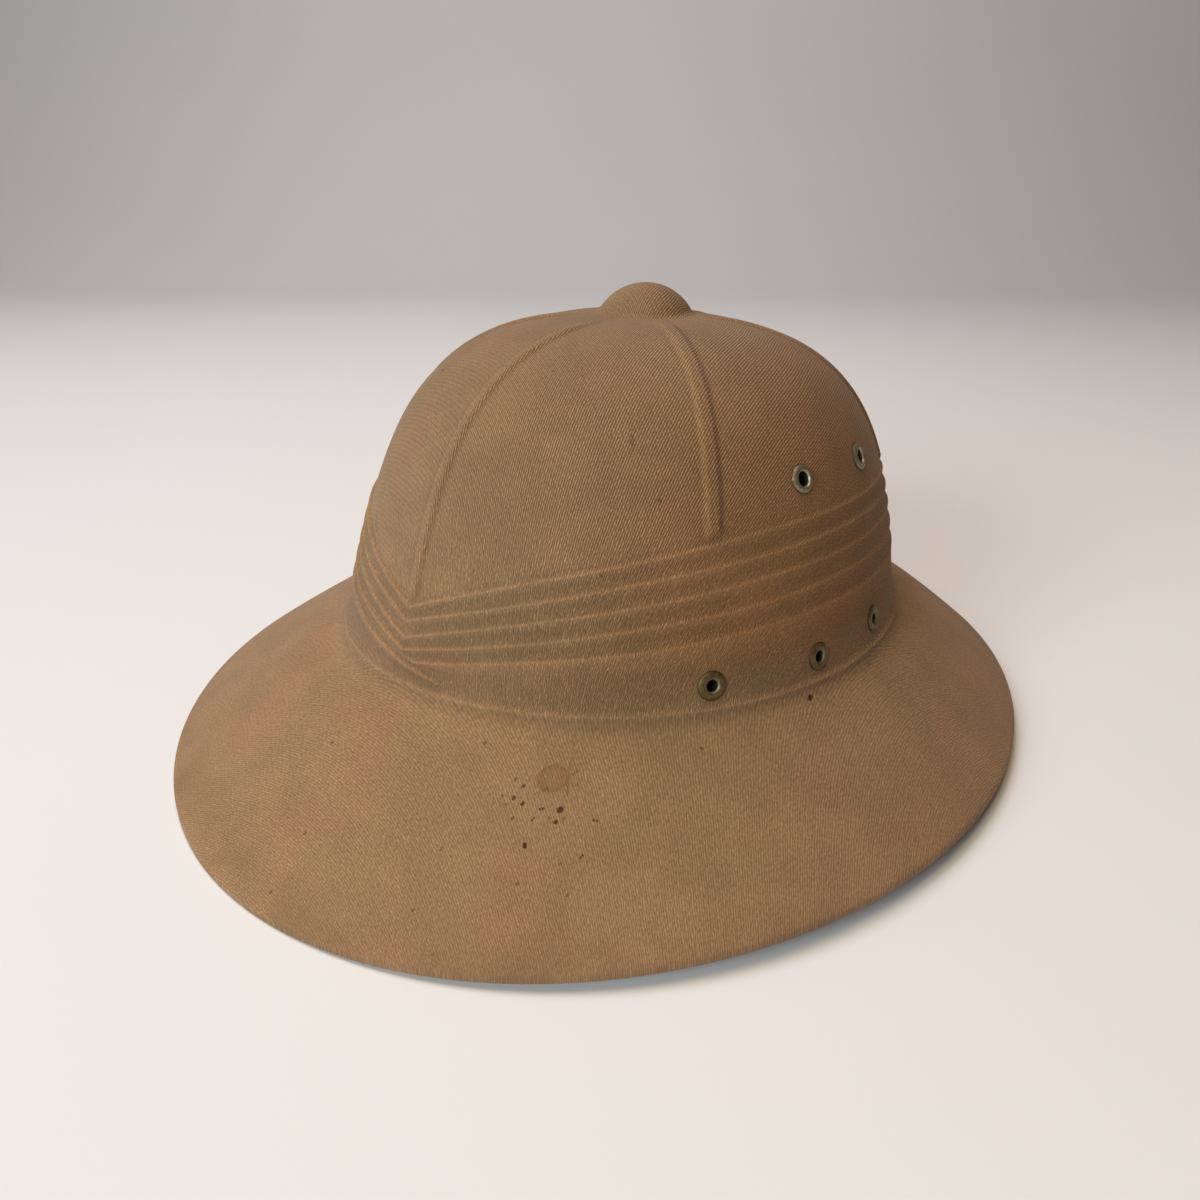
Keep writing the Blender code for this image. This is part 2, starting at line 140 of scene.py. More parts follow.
def brim_point(turn, share):
    """Point of the brim's upper face: hollow beside the crown, then gently full to the rim."""
    foot, rim, run = crown_point(turn, 0), rim_point(turn), brim_run(turn)
    slope = (foot[..., 2] - rim[..., 2]) / length(run)
    edge_height = rim[..., 2] + WALL * np.sqrt(1 + slope**2) - RIM_FOOT_WIDTH * slope
    away = share * length(run) / NECK_HOLLOW_WIDTH
    hollow = NECK_HOLLOW_DEPTH * away * np.exp(1 - away)
    point = foot + run * np.asarray(share)[..., None]
    point[..., 2] = blend(foot[..., 2], edge_height, share) - hollow
    point[..., 2] += 4 * BRIM_BULGE * share * (1 - share)
    return point


# The ribs: six flat-topped ridges of the same fibre board, one at the front, one at the back
# and two on each side. They rise softly out of the knob's foot and end at the band.
RIB_TURNS = np.radians((0, 56, 124, 180, 236, 304))
RIB_WIDTH, RIB_HEIGHT, RIB_FLANK = 0.0062, 0.00085, 0.0019
RIB_REACH = 0.0044
RIB_START, RIB_RISE_SHARE, RIB_END_PACE = 0.15, 1 / 9, 1.1
RIB_COLUMNS = 7
TURN_STEP = 0.001


def column_turns(turn_reach, evenness):
    """Turns of a ring's columns: close together at the ribs, or more even as evenness nears 1."""
    turns = []
    for number in range(GORES):
        start = RIB_TURNS[number]
        end = RIB_TURNS[number + 1] if number + 1 < GORES else 2 * math.pi
        reach, next_reach = turn_reach[number], turn_reach[(number + 1) % GORES]
        near = start + reach * np.arange(RIB_COLUMNS) / RIB_COLUMNS
        middle = np.linspace(start + reach, end - next_reach, COLUMNS_PER_GORE - 2 * RIB_COLUMNS + 1)
        far = end - next_reach * np.arange(RIB_COLUMNS - 1, 0, -1) / RIB_COLUMNS
        turns.append(np.concatenate((near, middle, far)))
    even = 2 * math.pi * np.arange(COLUMNS) / COLUMNS
    return blend(np.concatenate(turns), even, evenness)


def rib_turn_reach(rise):
    """How far a rib's columns reach to each side of it, as a turn."""
    pace = length(crown_point(RIB_TURNS + TURN_STEP, rise) - crown_point(RIB_TURNS - TURN_STEP, rise))
    return RIB_REACH / (pace / (2 * TURN_STEP))


def rib_relief(turn, points):
    """How far the ribs stand out of the crown at each point."""
    nearest = np.full(turn.shape, 1.0)
    for rib in RIB_TURNS:
        aside = np.angle(np.exp(1j * (turn - rib)))
        radius = length((points - CROWN_CENTRE)[..., :2])
        nearest = np.minimum(nearest, np.abs(aside) * radius)
    return RIB_HEIGHT * smooth((RIB_WIDTH / 2 - nearest) / RIB_FLANK)


# The band: five soft-edged folds, as of a cloth wound round the crown, moulded in the fibre.
# They sweep up from the front to the sides, and the lowest crosses over at the front and back.
BAND_FRONT_HEIGHT, BAND_SIDE_HEIGHT = 0.0223, 0.0452
FOLD_STEP, FOLD_LEDGE, FOLD_ROOT = 0.0010, 0.0015, -0.05
BAND_LEAD_IN, BAND_ROW_GAP = 0.0030, 0.0004
SIDE_SOFTENING, SIDE_START = 0.45, 0.6
FOLD_WANDER, FACE_HOLLOW = 0.00025, 2.6
OVERLAP_TURN = math.radians(12)
HIDDEN_LEDGES, SHOWING_PACE, SINKING_PACE = 1.3, 2, 4
BAND_PLAIN_LIFTS = (0, 0, 0, 0, 0.1, -0.25)
LEDGE_ROWS, FACE_ROWS, FACE_ROW_CROWDING = 5, 5, 1.5
Fold = namedtuple("Fold", "front side sweep")
FOLDS = (
    Fold(1.00, 1.00, 2.35),
    Fold(0.81, 0.865, 2.4),
    Fold(0.62, 0.72, 2.45),
    Fold(0.455, 0.565, 2.55),
    Fold(0.305, 0.41, 2.65),
)
LOWEST = len(FOLDS) - 1


def fold_height(number, turn):
    """Height of a fold's ledge, which sweeps up from the front and back to the sides."""
    fold = FOLDS[number]
    quarter = 1 - np.arcsin(np.minimum(1, np.abs(np.cos(turn)))) / (math.pi / 2)
    front, side = fold.front * BAND_FRONT_HEIGHT, fold.side * BAND_SIDE_HEIGHT
    wander = FOLD_WANDER * np.sin(5 * turn + 2.1 * number) * np.sin(3 * turn + number)
    return NECK_HEIGHT + blend(front, side, 1 - (1 - quarter) ** fold.sweep) + wander


def crossing_lines(turn):
    """Heights and strengths of the left lowest fold, and of the right one that crosses it."""
    lowest, left = fold_height(LOWEST, turn), np.sin(turn) > 0
    share = np.arcsin(np.minimum(1, np.abs(np.sin(turn)))) / OVERLAP_TURN
    foot = neck_height(turn) + 3 * NECK_BEAD
    crossed = np.maximum(foot, blend(NECK_HEIGHT + FOLDS[LOWEST].front * BAND_FRONT_HEIGHT, foot, share))
    crossing = np.where(left, crossed, lowest)
    hidden = crossing + HIDDEN_LEDGES * FOLD_LEDGE
    emerging = np.where(left, np.maximum(hidden, lowest), hidden)
    showing = np.where(left, np.clip(SHOWING_PACE * share, 0, 1), 0)
    sinking = np.where(left, np.clip(SINKING_PACE * (1 - share), 0, 1), 1)
    return (emerging, showing), (crossing, sinking)


def band_knots(turn):
    """Heights and lifts of the band's ledges, from the top down."""
    knots = [(fold_height(0, turn) + BAND_LEAD_IN, 0 * turn)]
    side = smooth((np.abs(np.sin(turn)) - SIDE_START) / (1 - SIDE_START))
    sharpness = 1 - SIDE_SOFTENING * side
    lines = [(fold_height(number, turn), 1 + 0 * turn) for number in range(LOWEST)]
    for number, (height, strength) in enumerate(lines + list(crossing_lines(turn))):
        for end, lift in ((FOLD_LEDGE / 2, FOLD_ROOT), (-FOLD_LEDGE / 2, 1 + FOLD_ROOT)):
            below = np.minimum(height + end, knots[-1][0] - BAND_ROW_GAP)
            shown = blend(BAND_PLAIN_LIFTS[number], lift, strength)
            knots.append((below, FOLD_STEP * sharpness * shown))
    return knots + [(neck_height(turn) + NECK_BEAD, BAND_PLAIN_LIFTS[-1] * FOLD_STEP + 0 * turn)]


def band_row(turn, interval, share):
    """Height and lift between two knots: a soft ledge, and a face that falls back below it."""
    knots = band_knots(turn)
    (high, high_lift), (low, low_lift) = knots[interval], knots[interval + 1]
    ledge = interval % 2 == 1
    eased = smooth(share) if ledge else 1 - (1 - share) ** FACE_HOLLOW
    return blend(high, low, share), blend(high_lift, low_lift, eased)


# The rings of the shell's outside, from the knob's top down to the rim: each is one row of
# points round the hat, with the turn of each point and how far it stands out of the mould.
Ring = namedtuple("Ring", "turns points lifts zone")
CROWN_ZONE, BAND_ZONE, BRIM_ZONE = 0, 1, 2
CAP_ROWS, CAP_START, CAP_END, FILLET_START, FILLET_ROWS, CROWN_ROWS = 15, 0.06, 0.90, 0.94, 8, 84
NECK_ROWS = (0.0008, 0.0005, 0.00025)
HOLLOW_ROWS = (0, 0.0003, 0.0006, 0.0010, 0.0015, 0.0021, 0.0028, 0.0036, 0.0046, 0.0058, 0.0073, 0.0092)
BRIM_ROWS, CORNER_ROWS = 37, 4
rings = []


def curve(start, corner, end, share):
    """A point of the round curve that fills a corner between two ends."""
    return (1 - share) ** 2 * start + 2 * share * (1 - share) * corner + share**2 * end


def knob_cap(turn, share):
    """The knob's round cap: a point at a share of its radius."""
    foot = crown_point(turn, rise_at_radius(turn, KNOB_DIAMETER / 2)) - CROWN_CENTRE
    across = foot[..., :2] / length(foot[..., :2])[..., None] * share * KNOB_DIAMETER / 2
    cap_radius = ((KNOB_DIAMETER / 2) ** 2 + KNOB_HEIGHT**2) / (2 * KNOB_HEIGHT)
    height = KNOB_HEIGHT - cap_radius + math.sqrt(cap_radius**2 - (share * KNOB_DIAMETER / 2) ** 2)
    return CROWN_CENTRE + np.concatenate((across, np.full(turn.shape + (1,), height)), axis=-1)


knob_reach = KNOB_DIAMETER / 2 + KNOB_FILLET
top_turns = column_turns(rib_turn_reach(rise_at_radius(RIB_TURNS, knob_reach)), 0)
for share in np.linspace(CAP_START, CAP_END, CAP_ROWS):
    rings.append(Ring(top_turns, knob_cap(top_turns, share), 0 * top_turns, CROWN_ZONE))
cap_end = knob_cap(top_turns, FILLET_START)
crown_start = crown_point(top_turns, rise_at_radius(top_turns, knob_reach))
corner = crown_point(top_turns, rise_at_radius(top_turns, KNOB_DIAMETER / 2))
for share in np.arange(FILLET_ROWS) / FILLET_ROWS:
    point = curve(cap_end, corner, crown_start, share)
    rings.append(Ring(top_turns, point, 0 * top_turns, CROWN_ZONE))

for share in np.arange(CROWN_ROWS) / CROWN_ROWS:
    rib_high = np.arcsin(rise_at_radius(RIB_TURNS, knob_reach))
    rib_low = np.arcsin(rise_at_height(RIB_TURNS, band_knots(RIB_TURNS)[0][0]))
    turns = column_turns(rib_turn_reach(np.sin(blend(rib_high, rib_low, share))), 0)
    high = np.arcsin(rise_at_radius(turns, knob_reach))
    low = np.arcsin(rise_at_height(turns, band_knots(turns)[0][0]))
    points = crown_point(turns, np.sin(blend(high, low, share)))
    rise_in = blend(RIB_START, 1, smooth(share / RIB_RISE_SHARE))
    rings.append(Ring(turns, points, rib_relief(turns, points) * rise_in, CROWN_ZONE))

low_reach = rib_turn_reach(rise_at_height(RIB_TURNS, band_knots(RIB_TURNS)[0][0]))
intervals = len(band_knots(top_turns)) - 1
for interval in range(intervals):
    rows = LEDGE_ROWS if interval % 2 == 1 else FACE_ROWS
    for row in range(rows):
        share = row / rows if interval % 2 == 1 else (row / rows) ** FACE_ROW_CROWDING
        turns = column_turns(low_reach, (interval + share) / intervals)
        height, lift = band_row(turns, interval, share)
        points = crown_point(turns, rise_at_height(turns, height))
        if interval == 0:
            lift = lift + rib_relief(turns, points) * (1 - smooth(share * RIB_END_PACE))
        zone = CROWN_ZONE if interval == 0 else BAND_ZONE
        rings.append(Ring(turns, points, lift, zone))

even = column_turns(low_reach, 1)
run_length = length(brim_run(even))
for height in NECK_ROWS:
    points = crown_point(even, height / (CROWN_TOP - NECK_HEIGHT))
    lift = FOLD_STEP * BAND_PLAIN_LIFTS[-1] * height / NECK_BEAD + 0 * even
    rings.append(Ring(even, points, lift, BAND_ZONE))
for away in HOLLOW_ROWS:
    rings.append(Ring(even, brim_point(even, away / run_length), 0 * even, BRIM_ZONE))
hollow_share = HOLLOW_ROWS[-1] / run_length
rim_share = 1 - RIM_CORNER_RADIUS / run_length
for share in np.linspace(0, 1, BRIM_ROWS + 1)[1:]:
    rings.append(Ring(even, brim_point(even, blend(hollow_share, rim_share, share)), 0 * even, BRIM_ZONE))
rim_start = len(rings)
slope_end, edge = brim_point(even, rim_share), brim_point(even, np.ones_like(even))
face_top = edge - np.array((0, 0, RIM_CORNER_RADIUS))
for share in np.arange(1, CORNER_ROWS + 1) / CORNER_ROWS:
    rings.append(Ring(even, curve(slope_end, edge, face_top, share), 0 * even, BRIM_ZONE))
foot = rim_point(even)
inward = -brim_run(even) / run_length[:, None]
bevel_top = foot + np.array((0, 0, RIM_BEVEL))
for point in (
    blend(face_top, bevel_top, 0.5),
    bevel_top,
    foot + inward * RIM_BEVEL,
    foot + inward * RIM_FOOT_WIDTH,
):
    rings.append(Ring(even, point, 0 * even, BRIM_ZONE))
outer_count = len(rings)

# The pressing is a little uneven, with shallow waves of a few tenths of a millimetre, and the
# cloth makes a bead in the corner between crown and brim. The inside is the mould's plain form.
UNEVENNESS, CALM_RIM_ROWS = 0.00016, 6
INNER_ROW_PACE, FIRST_INNER_ROW = 6, 22
KNOB_INNER_ROWS = (20, 14, 7, 1)
grid = np.stack([ring.points for ring in rings])
turn_grid = np.stack([ring.turns for ring in rings])
around = np.roll(grid, -1, axis=1) - np.roll(grid, 1, axis=1)
down = np.gradient(grid, axis=0)
normals = np.cross(down, around)
normals /= np.maximum(length(normals), 1e-12)[..., None]
lift_grid = np.stack([ring.lifts for ring in rings])
neck_points = crown_point(turn_grid, 0)
from_neck = length(grid - neck_points)
lift_grid += NECK_BEAD * np.exp(-((from_neck / NECK_BEAD_REACH) ** 2))
x, y, z = np.moveaxis(grid, -1, 0)
waves = np.sin(61 * x + 1.3) * np.sin(53 * y + 0.4) + 0.6 * np.sin(97 * y - 38 * x + 40 * z)
waves += 0.5 * np.sin(140 * x + 60 * z + 2) * np.sin(121 * y + 1)
fade_at_rim = np.clip((rim_start - np.arange(outer_count)) / CALM_RIM_ROWS, 0, 1)[:, None]
lift_grid += UNEVENNESS * waves * fade_at_rim
outside = grid + normals * lift_grid[..., None]

lower_rows = range(rim_start - 1, FIRST_INNER_ROW, -1)
rows_in = [row for row in lower_rows if row % INNER_ROW_PACE == 0 or row == rim_start - 1]
rows_in += KNOB_INNER_ROWS
inner_points = [grid[row] - normals[row] * WALL for row in rows_in]

# How the twill lies: one flat piece was pressed over the whole shell. On the crown its lines
# keep one direction, as unrolled from the top, and on the brim they bend where it stretched.
TWILL_TURN = math.radians(-20)
BRIM_CLOTH_RADIUS, BRIM_CLOTH_SHIFT = 0.118, 0.5
CLOTH_AT_TOP = 0.001
FULL_BEND, BEND_ROWS, BEND_COLUMNS = 0.0003, 3, 2
# Painted shade: the creases and a band beside the neck are darkened in the cloth's colour by these.
NECK_SHADE_REACH, PAINTED_SHADE_SHARE = 0.0022, 0.8
fall = length(np.diff(outside, axis=0))
falls = np.concatenate((np.zeros((1, COLUMNS)), np.cumsum(fall, axis=0)), axis=0) + CLOTH_AT_TOP
cloth_x, cloth_y = falls * np.sin(turn_grid), -falls * np.cos(turn_grid)
crown_cloth = np.stack(
    (
        cloth_x * math.cos(TWILL_TURN) - cloth_y * math.sin(TWILL_TURN),
        cloth_x * math.sin(TWILL_TURN) + cloth_y * math.cos(TWILL_TURN),
    ),
    axis=-1,
)
across_brim = (y**2 - x**2) / (2 * BRIM_CLOTH_RADIUS)
brim_cloth = np.stack((across_brim, x * y / BRIM_CLOTH_RADIUS), axis=-1) + BRIM_CLOTH_SHIFT


def crease_shade_and_crest_wear(row):
    """Painted shade in creases and by the neck, and crest wear with a painted highlight, along a row."""
    here, last_row = lift_grid[row], outer_count - 1
    beyond = lift_grid[max(row - BEND_ROWS, 0)] + lift_grid[min(row + BEND_ROWS, last_row)]
    bend = np.clip((here - beyond / 2) / FULL_BEND, -1, 1)
    beyond = np.roll(here, BEND_COLUMNS) + np.roll(here, -BEND_COLUMNS)
    across = np.clip((here - beyond / 2) / FULL_BEND, -1, 1)
    neck_shade = PAINTED_SHADE_SHARE * np.exp(-((from_neck[row] - NECK_SHADE_REACH) ** 2) / NECK_SHADE_REACH**2)
    crease_shade = PAINTED_SHADE_SHARE * np.clip(np.maximum(-bend, -across), 0, 1) + neck_shade
    return np.clip(crease_shade, 0, 1), np.clip(np.maximum(bend, across), 0, 1)


all_points = list(outside) + inner_points
source_rows = list(range(outer_count)) + rows_in
top_point = CROWN_CENTRE + np.array((0, 0, KNOB_HEIGHT))
vertices = np.concatenate(all_points + [top_point[None], (top_point - np.array((0, 0, WALL)))[None]])
columns = np.arange(COLUMNS)
beside = (columns + 1) % COLUMNS
faces, cloth_map, shade_and_wear_map = [], [], []
for ring_number in range(len(all_points) - 1):
    upper, lower = ring_number * COLUMNS, (ring_number + 1) * COLUMNS
    quads = (upper + columns, lower + columns, lower + beside, upper + beside)
    faces += np.stack(quads, axis=1).tolist()
    high_row, low_row = source_rows[ring_number], source_rows[ring_number + 1]
    zone = rings[high_row].zone if ring_number < outer_count else rings[low_row].zone
    cloth = brim_cloth if zone == BRIM_ZONE else crown_cloth
    high, low = cloth[high_row], cloth[low_row]
    cloth_map.append(np.stack((high, low, low[beside], high[beside]), axis=1).reshape(-1, 2))
    if ring_number < outer_count - 1:
        bends = (crease_shade_and_crest_wear(row) for row in (high_row, low_row))
        high_shade_and_wear, low_shade_and_wear = (np.stack(bend, axis=1) for bend in bends)
    else:
        high_shade_and_wear = low_shade_and_wear = np.zeros((COLUMNS, 2))
    wear = (high_shade_and_wear, low_shade_and_wear, low_shade_and_wear[beside], high_shade_and_wear[beside])
    shade_and_wear_map.append(np.stack(wear, axis=1).reshape(-1, 2))
last_ring, top, inner_top = (len(all_points) - 1) * COLUMNS, len(vertices) - 2, len(vertices) - 1
for column in range(COLUMNS):
    faces.append([top, column, (column + 1) % COLUMNS])
    faces.append([inner_top, last_ring + (column + 1) % COLUMNS, last_ring + column])
cloth_map.append(np.zeros((COLUMNS * 6, 2)))
shade_and_wear_map.append(np.zeros((COLUMNS * 6, 2)))
shell_mesh = bpy.data.meshes.new("helmet_cloth_shell")
shell_mesh.from_pydata(vertices.tolist(), [], faces)
for layer, values in (("cloth", cloth_map), ("wear", shade_and_wear_map)):
    shell_mesh.uv_layers.new(name=layer).data.foreach_set("uv", np.concatenate(values).ravel())
shell_mesh.shade_smooth()
shell = bpy.data.objects.new("helmet_cloth_shell", shell_mesh)
bpy.context.scene.collection.objects.link(shell)

# The vents: ten metal eyelets, five on each side, set through the shell above the brim and
# high on the crown. Each has a drilled hole, and a small pin hole goes through the brim's foot.
Vent = namedtuple("Vent", "name turn rise bore flange crest")
VENTS = (
    Vent("low_front", 56.0, 0.067, 0.0034, 0.0088, 0.0008),
    Vent("low_middle", 77.5, 0.070, 0.0034, 0.0088, 0.0008),
    Vent("low_rear", 96.5, 0.082, 0.0034, 0.0088, 0.0008),
    Vent("high_front", 76.5, 0.603, 0.0043, 0.0086, 0.0011),
    Vent("high_rear", 99.0, 0.603, 0.0043, 0.0086, 0.0011),
)
BARREL_WALL, CLEARANCE = 0.0004, 0.0003
DRILL_SIDES, DRILL_WALLS = 40, 6
PIN_HOLE_DIAMETER, PIN_HOLE_TURN, PIN_HOLE_RUN = 0.0015, math.radians(74), 0.0030
shell_tree = BVHTree.FromPolygons(vertices.tolist(), faces)


def seat_on_shell(near):
    """Nearest place on the shell's outside, and the direction that the cloth faces there."""
    place, direction, _, _ = shell_tree.find_nearest(Vector(near))
    return place, direction


def set_on(place, direction):
    """The move that stands a thing on a place, with its axis along a direction."""
    return Matrix.Translation(place) @ direction.to_track_quat("Z", "Y").to_matrix().to_4x4()


def drill(name, place, direction, radius):
    """A round cutter through the wall at a place, with its turn and place in its mesh."""
    depth = DRILL_WALLS * WALL
    bpy.ops.mesh.primitive_cylinder_add(vertices=DRILL_SIDES, radius=radius, depth=depth)
    bit = bpy.context.object
    bit.name = name
    bit.data.transform(set_on(place, direction))
    return bit


seats, bits = {}, []
for side, side_name in ((1, "left"), (-1, "right")):
    for vent in VENTS:
        turn = np.array(side * math.radians(vent.turn))
        place, direction = seat_on_shell(crown_point(turn, vent.rise))
        node_name = f"eyelet_{side_name}_{vent.name}"
        grip = WALL + (place - Vector(crown_point(turn, vent.rise))).dot(direction)
        seats[node_name] = (vent, place, direction, grip)
        hole_radius = vent.bore / 2 + BARREL_WALL + CLEARANCE
        bits.append(drill(f"drill_{node_name}", place, direction, hole_radius))
    turn = np.array(side * PIN_HOLE_TURN)
    place, direction = seat_on_shell(brim_point(turn, PIN_HOLE_RUN / length(brim_run(turn))))
    bits.append(drill(f"drill_pin_{side_name}", place, direction, PIN_HOLE_DIAMETER / 2))
drills = bpy.data.collections.new("drills")
for bit in bits:
    for holder in tuple(bit.users_collection):
        holder.objects.unlink(bit)
    drills.objects.link(bit)
holes = shell.modifiers.new("holes", "BOOLEAN")
holes.operand_type, holes.collection, holes.solver = "COLLECTION", drills, "EXACT"
scene_state = bpy.context.evaluated_depsgraph_get()
drilled = bpy.data.meshes.new_from_object(shell.evaluated_get(scene_state))
shell.modifiers.remove(holes)
shell.data = drilled
for bit in bits:
    bpy.data.objects.remove(bit)

# The camera stands in front of the helmet and to the wearer's left, a little above its crown.
# Some stains are placed by what it sees: a pixel of the 1200 x 1200 picture.
camera_data = bpy.data.cameras.new("camera")
camera_data.lens, camera_data.sensor_width, camera_data.clip_start = 27.71, 36, 0.01
camera = bpy.data.objects.new("camera", camera_data)
camera.location = (0.1958, -0.2484, 0.1733)
camera.rotation_mode = "QUATERNION"
camera_turn, camera_drop, camera_roll = map(math.radians, (39.916, 24.37, 0.20))
level = Vector((math.cos(camera_turn), math.sin(camera_turn), 0))
away_from_camera = Vector((-math.sin(camera_turn), math.cos(camera_turn), 0))
ahead = away_from_camera * math.cos(camera_drop) - Vector((0, 0, math.sin(camera_drop)))
rightwards = level * math.cos(camera_roll) + level.cross(ahead) * math.sin(camera_roll)
upwards = rightwards.cross(ahead)
camera.rotation_quaternion = Matrix((rightwards, upwards, -ahead)).transposed().to_quaternion()
bpy.context.scene.collection.objects.link(camera)
bpy.context.scene.camera = camera
PICTURE_SIZE = 1200


def seen_at(pixel_x, pixel_y):
    """Place on the shell that a pixel of the picture shows."""
    scale = camera_data.sensor_width / camera_data.lens / PICTURE_SIZE
    half = PICTURE_SIZE / 2
    ray = ahead + rightwards * (pixel_x - half) * scale + upwards * (half - pixel_y) * scale
    place, _, _, _ = shell_tree.ray_cast(camera.location, ray.normalized())
    return place


# The shell's cloth: worn khaki cotton twill, sun-bleached unevenly, with a ring left by a drop and
# brown specks. Painted shade darkens the creases, a band beside the neck, the weave's grooves and
# the side wall in shade; the crests are lighter from rubbing and a painted highlight.
def add_node(tree, kind, inputs=(), **settings):
    """A shader node with settings, and inputs by name or number: values, or sockets to join."""
    node = tree.nodes.new(kind)
    for name, value in settings.items():
        setattr(node, name, value)
    for key, value in dict(inputs).items():
        if isinstance(value, bpy.types.NodeSocket):
            tree.links.new(value, node.inputs[key])
        else:
            node.inputs[key].default_value = value
    return node


def math_node(tree, operation, *values):
    return add_node(tree, "ShaderNodeMath", dict(enumerate(values)), operation=operation).outputs[0]


def vector_node(tree, operation, *values):
    node = add_node(tree, "ShaderNodeVectorMath", dict(enumerate(values)), operation=operation)
    gives_number = operation in ("DOT_PRODUCT", "LENGTH", "DISTANCE")
    return node.outputs["Value" if gives_number else "Vector"]


def ramp_node(tree, value, low, high, from_value=0.0, to_value=1.0):
    """A value eased from one level to another as it goes from low to high."""
    inputs = {"Value": value, "From Min": low, "From Max": high}
    inputs |= {"To Min": from_value, "To Max": to_value}
    node = add_node(tree, "ShaderNodeMapRange", inputs, interpolation_type="SMOOTHSTEP")
    return node.outputs["Result"]


def split_node(tree, vector):
    return add_node(tree, "ShaderNodeSeparateXYZ", {0: vector}).outputs


def mapped_place(tree, name):
    return add_node(tree, "ShaderNodeUVMap", uv_map=name).outputs["UV"]


def mix_colours(tree, share, first, second, blend_type="MIX"):
    node = add_node(tree, "ShaderNodeMix", data_type="RGBA", blend_type=blend_type)
    for socket, value in zip((node.inputs[0], node.inputs[6], node.inputs[7]), (share, first, second)):
        if isinstance(value, bpy.types.NodeSocket):
            tree.links.new(value, socket)
        else:
            socket.default_value = value
    return node.outputs[2]


def noise_node(tree, place, scale, detail=2.0, roughness=0.5, dimensions="3D"):
    inputs = {"Vector": place, "Scale": scale, "Detail": detail, "Roughness": roughness}
    return add_node(tree, "ShaderNodeTexNoise", inputs, noise_dimensions=dimensions).outputs["Fac"]


def new_group(name, inputs, outputs):
    """An empty shader node group with named inputs (name, kind, value) and float outputs."""
    group = bpy.data.node_groups.new(name, "ShaderNodeTree")
    for socket_name, kind, value in inputs:
        socket = group.interface.new_socket(socket_name, in_out="INPUT", socket_type=kind)
        if value is not None:
            socket.default_value = value
    for socket_name in outputs:
        group.interface.new_socket(socket_name, in_out="OUTPUT", socket_type="NodeSocketFloat")
    given = group.nodes.new("NodeGroupInput").outputs
    return group, given, group.nodes.new("NodeGroupOutput").inputs


WAVER_SCALE, FLOAT_SCALE = (700.0, 260.0), (900.0, 500.0)
WARP_SCALE, FLUFF_SCALE = (1500.0, 800.0), (1200.0, 1200.0)
FLOAT_OFFSET, FLOAT_WAVER, FLOAT_DEPTH = 0.381, 0.7, 0.22


def twill_weave_group():
    """Twill: raised diagonal lines broken into short floats, on cloth measured in metres."""
    group, given, result = new_group(
        "twill weave",
        (
            ("Cloth", "NodeSocketVector", None),
            ("Line pitch", "NodeSocketFloat", 0.0008),
            ("Float length", "NodeSocketFloat", 0.0019),
            ("Disorder", "NodeSocketFloat", 0.5),
        ),
        ("Height", "Slub"),
    )

    def grain(scale, detail=2.0):
        """Noise on the cloth, finer or coarser across the lines than along them."""
        place = vector_node(group, "MULTIPLY", given["Cloth"], (*scale, 1.0))
        return noise_node(group, place, 1.0, detail, dimensions="2D")

    across, along, _ = split_node(group, given["Cloth"])
    waver = math_node(group, "MULTIPLY", grain(WAVER_SCALE), given["Disorder"])
    line = math_node(group, "DIVIDE", across, given["Line pitch"])
    line = math_node(group, "ADD", line, waver)
    ridge = math_node(group, "COSINE", math_node(group, "MULTIPLY", line, 2 * math.pi))
    ridge = math_node(group, "MULTIPLY_ADD", ridge, 0.5, 0.5)
    number = math_node(group, "FLOOR", math_node(group, "ADD", line, 0.5))
    offset = math_node(group, "MULTIPLY", number, FLOAT_OFFSET)
    step = math_node(group, "DIVIDE", along, given["Float length"])
    step = math_node(group, "ADD", step, offset)
    step = math_node(group, "MULTIPLY_ADD", grain(FLOAT_SCALE, 1.0), FLOAT_WAVER, step)
    beads = math_node(group, "COSINE", math_node(group, "MULTIPLY", step, 2 * math.pi))
    beads = math_node(group, "MULTIPLY_ADD", beads, FLOAT_DEPTH, 1 - FLOAT_DEPTH)
    group.links.new(math_node(group, "MULTIPLY", ridge, beads), result["Height"])
    slub = math_node(group, "ADD", grain(WARP_SCALE), grain(FLUFF_SCALE))
    group.links.new(math_node(group, "MULTIPLY", slub, 0.5), result["Slub"])
    return group


MARK_CORE, MARK_REACH = 0.25, 0.62


def mark_group():
    """A soft-edged mark between two places on the cloth: a speck, a dash or a hair."""
    group, given, result = new_group(
        "mark",
        (
            ("Place", "NodeSocketVector", None),
            ("Start", "NodeSocketVector", None),
            ("End", "NodeSocketVector", None),
            ("Width", "NodeSocketFloat", 0.001),
        ),
        ("Mask",),
    )
    along = vector_node(group, "SUBTRACT", given["End"], given["Start"])
    away = vector_node(group, "SUBTRACT", given["Place"], given["Start"])
    reach = math_node(group, "MAXIMUM", vector_node(group, "DOT_PRODUCT", along, along), 1e-9)
    share = math_node(group, "DIVIDE", vector_node(group, "DOT_PRODUCT", away, along), reach)
    share = math_node(group, "MINIMUM", math_node(group, "MAXIMUM", share, 0.0), 1.0)
    scaled = add_node(group, "ShaderNodeVectorMath", {0: along, 3: share}, operation="SCALE").outputs[0]
    distance = vector_node(group, "LENGTH", vector_node(group, "SUBTRACT", away, scaled))
    inner = math_node(group, "MULTIPLY", given["Width"], MARK_CORE)
    outer = math_node(group, "MULTIPLY", given["Width"], MARK_REACH)
    group.links.new(ramp_node(group, distance, inner, outer, 1.0, 0.0), result["Mask"])
    return group


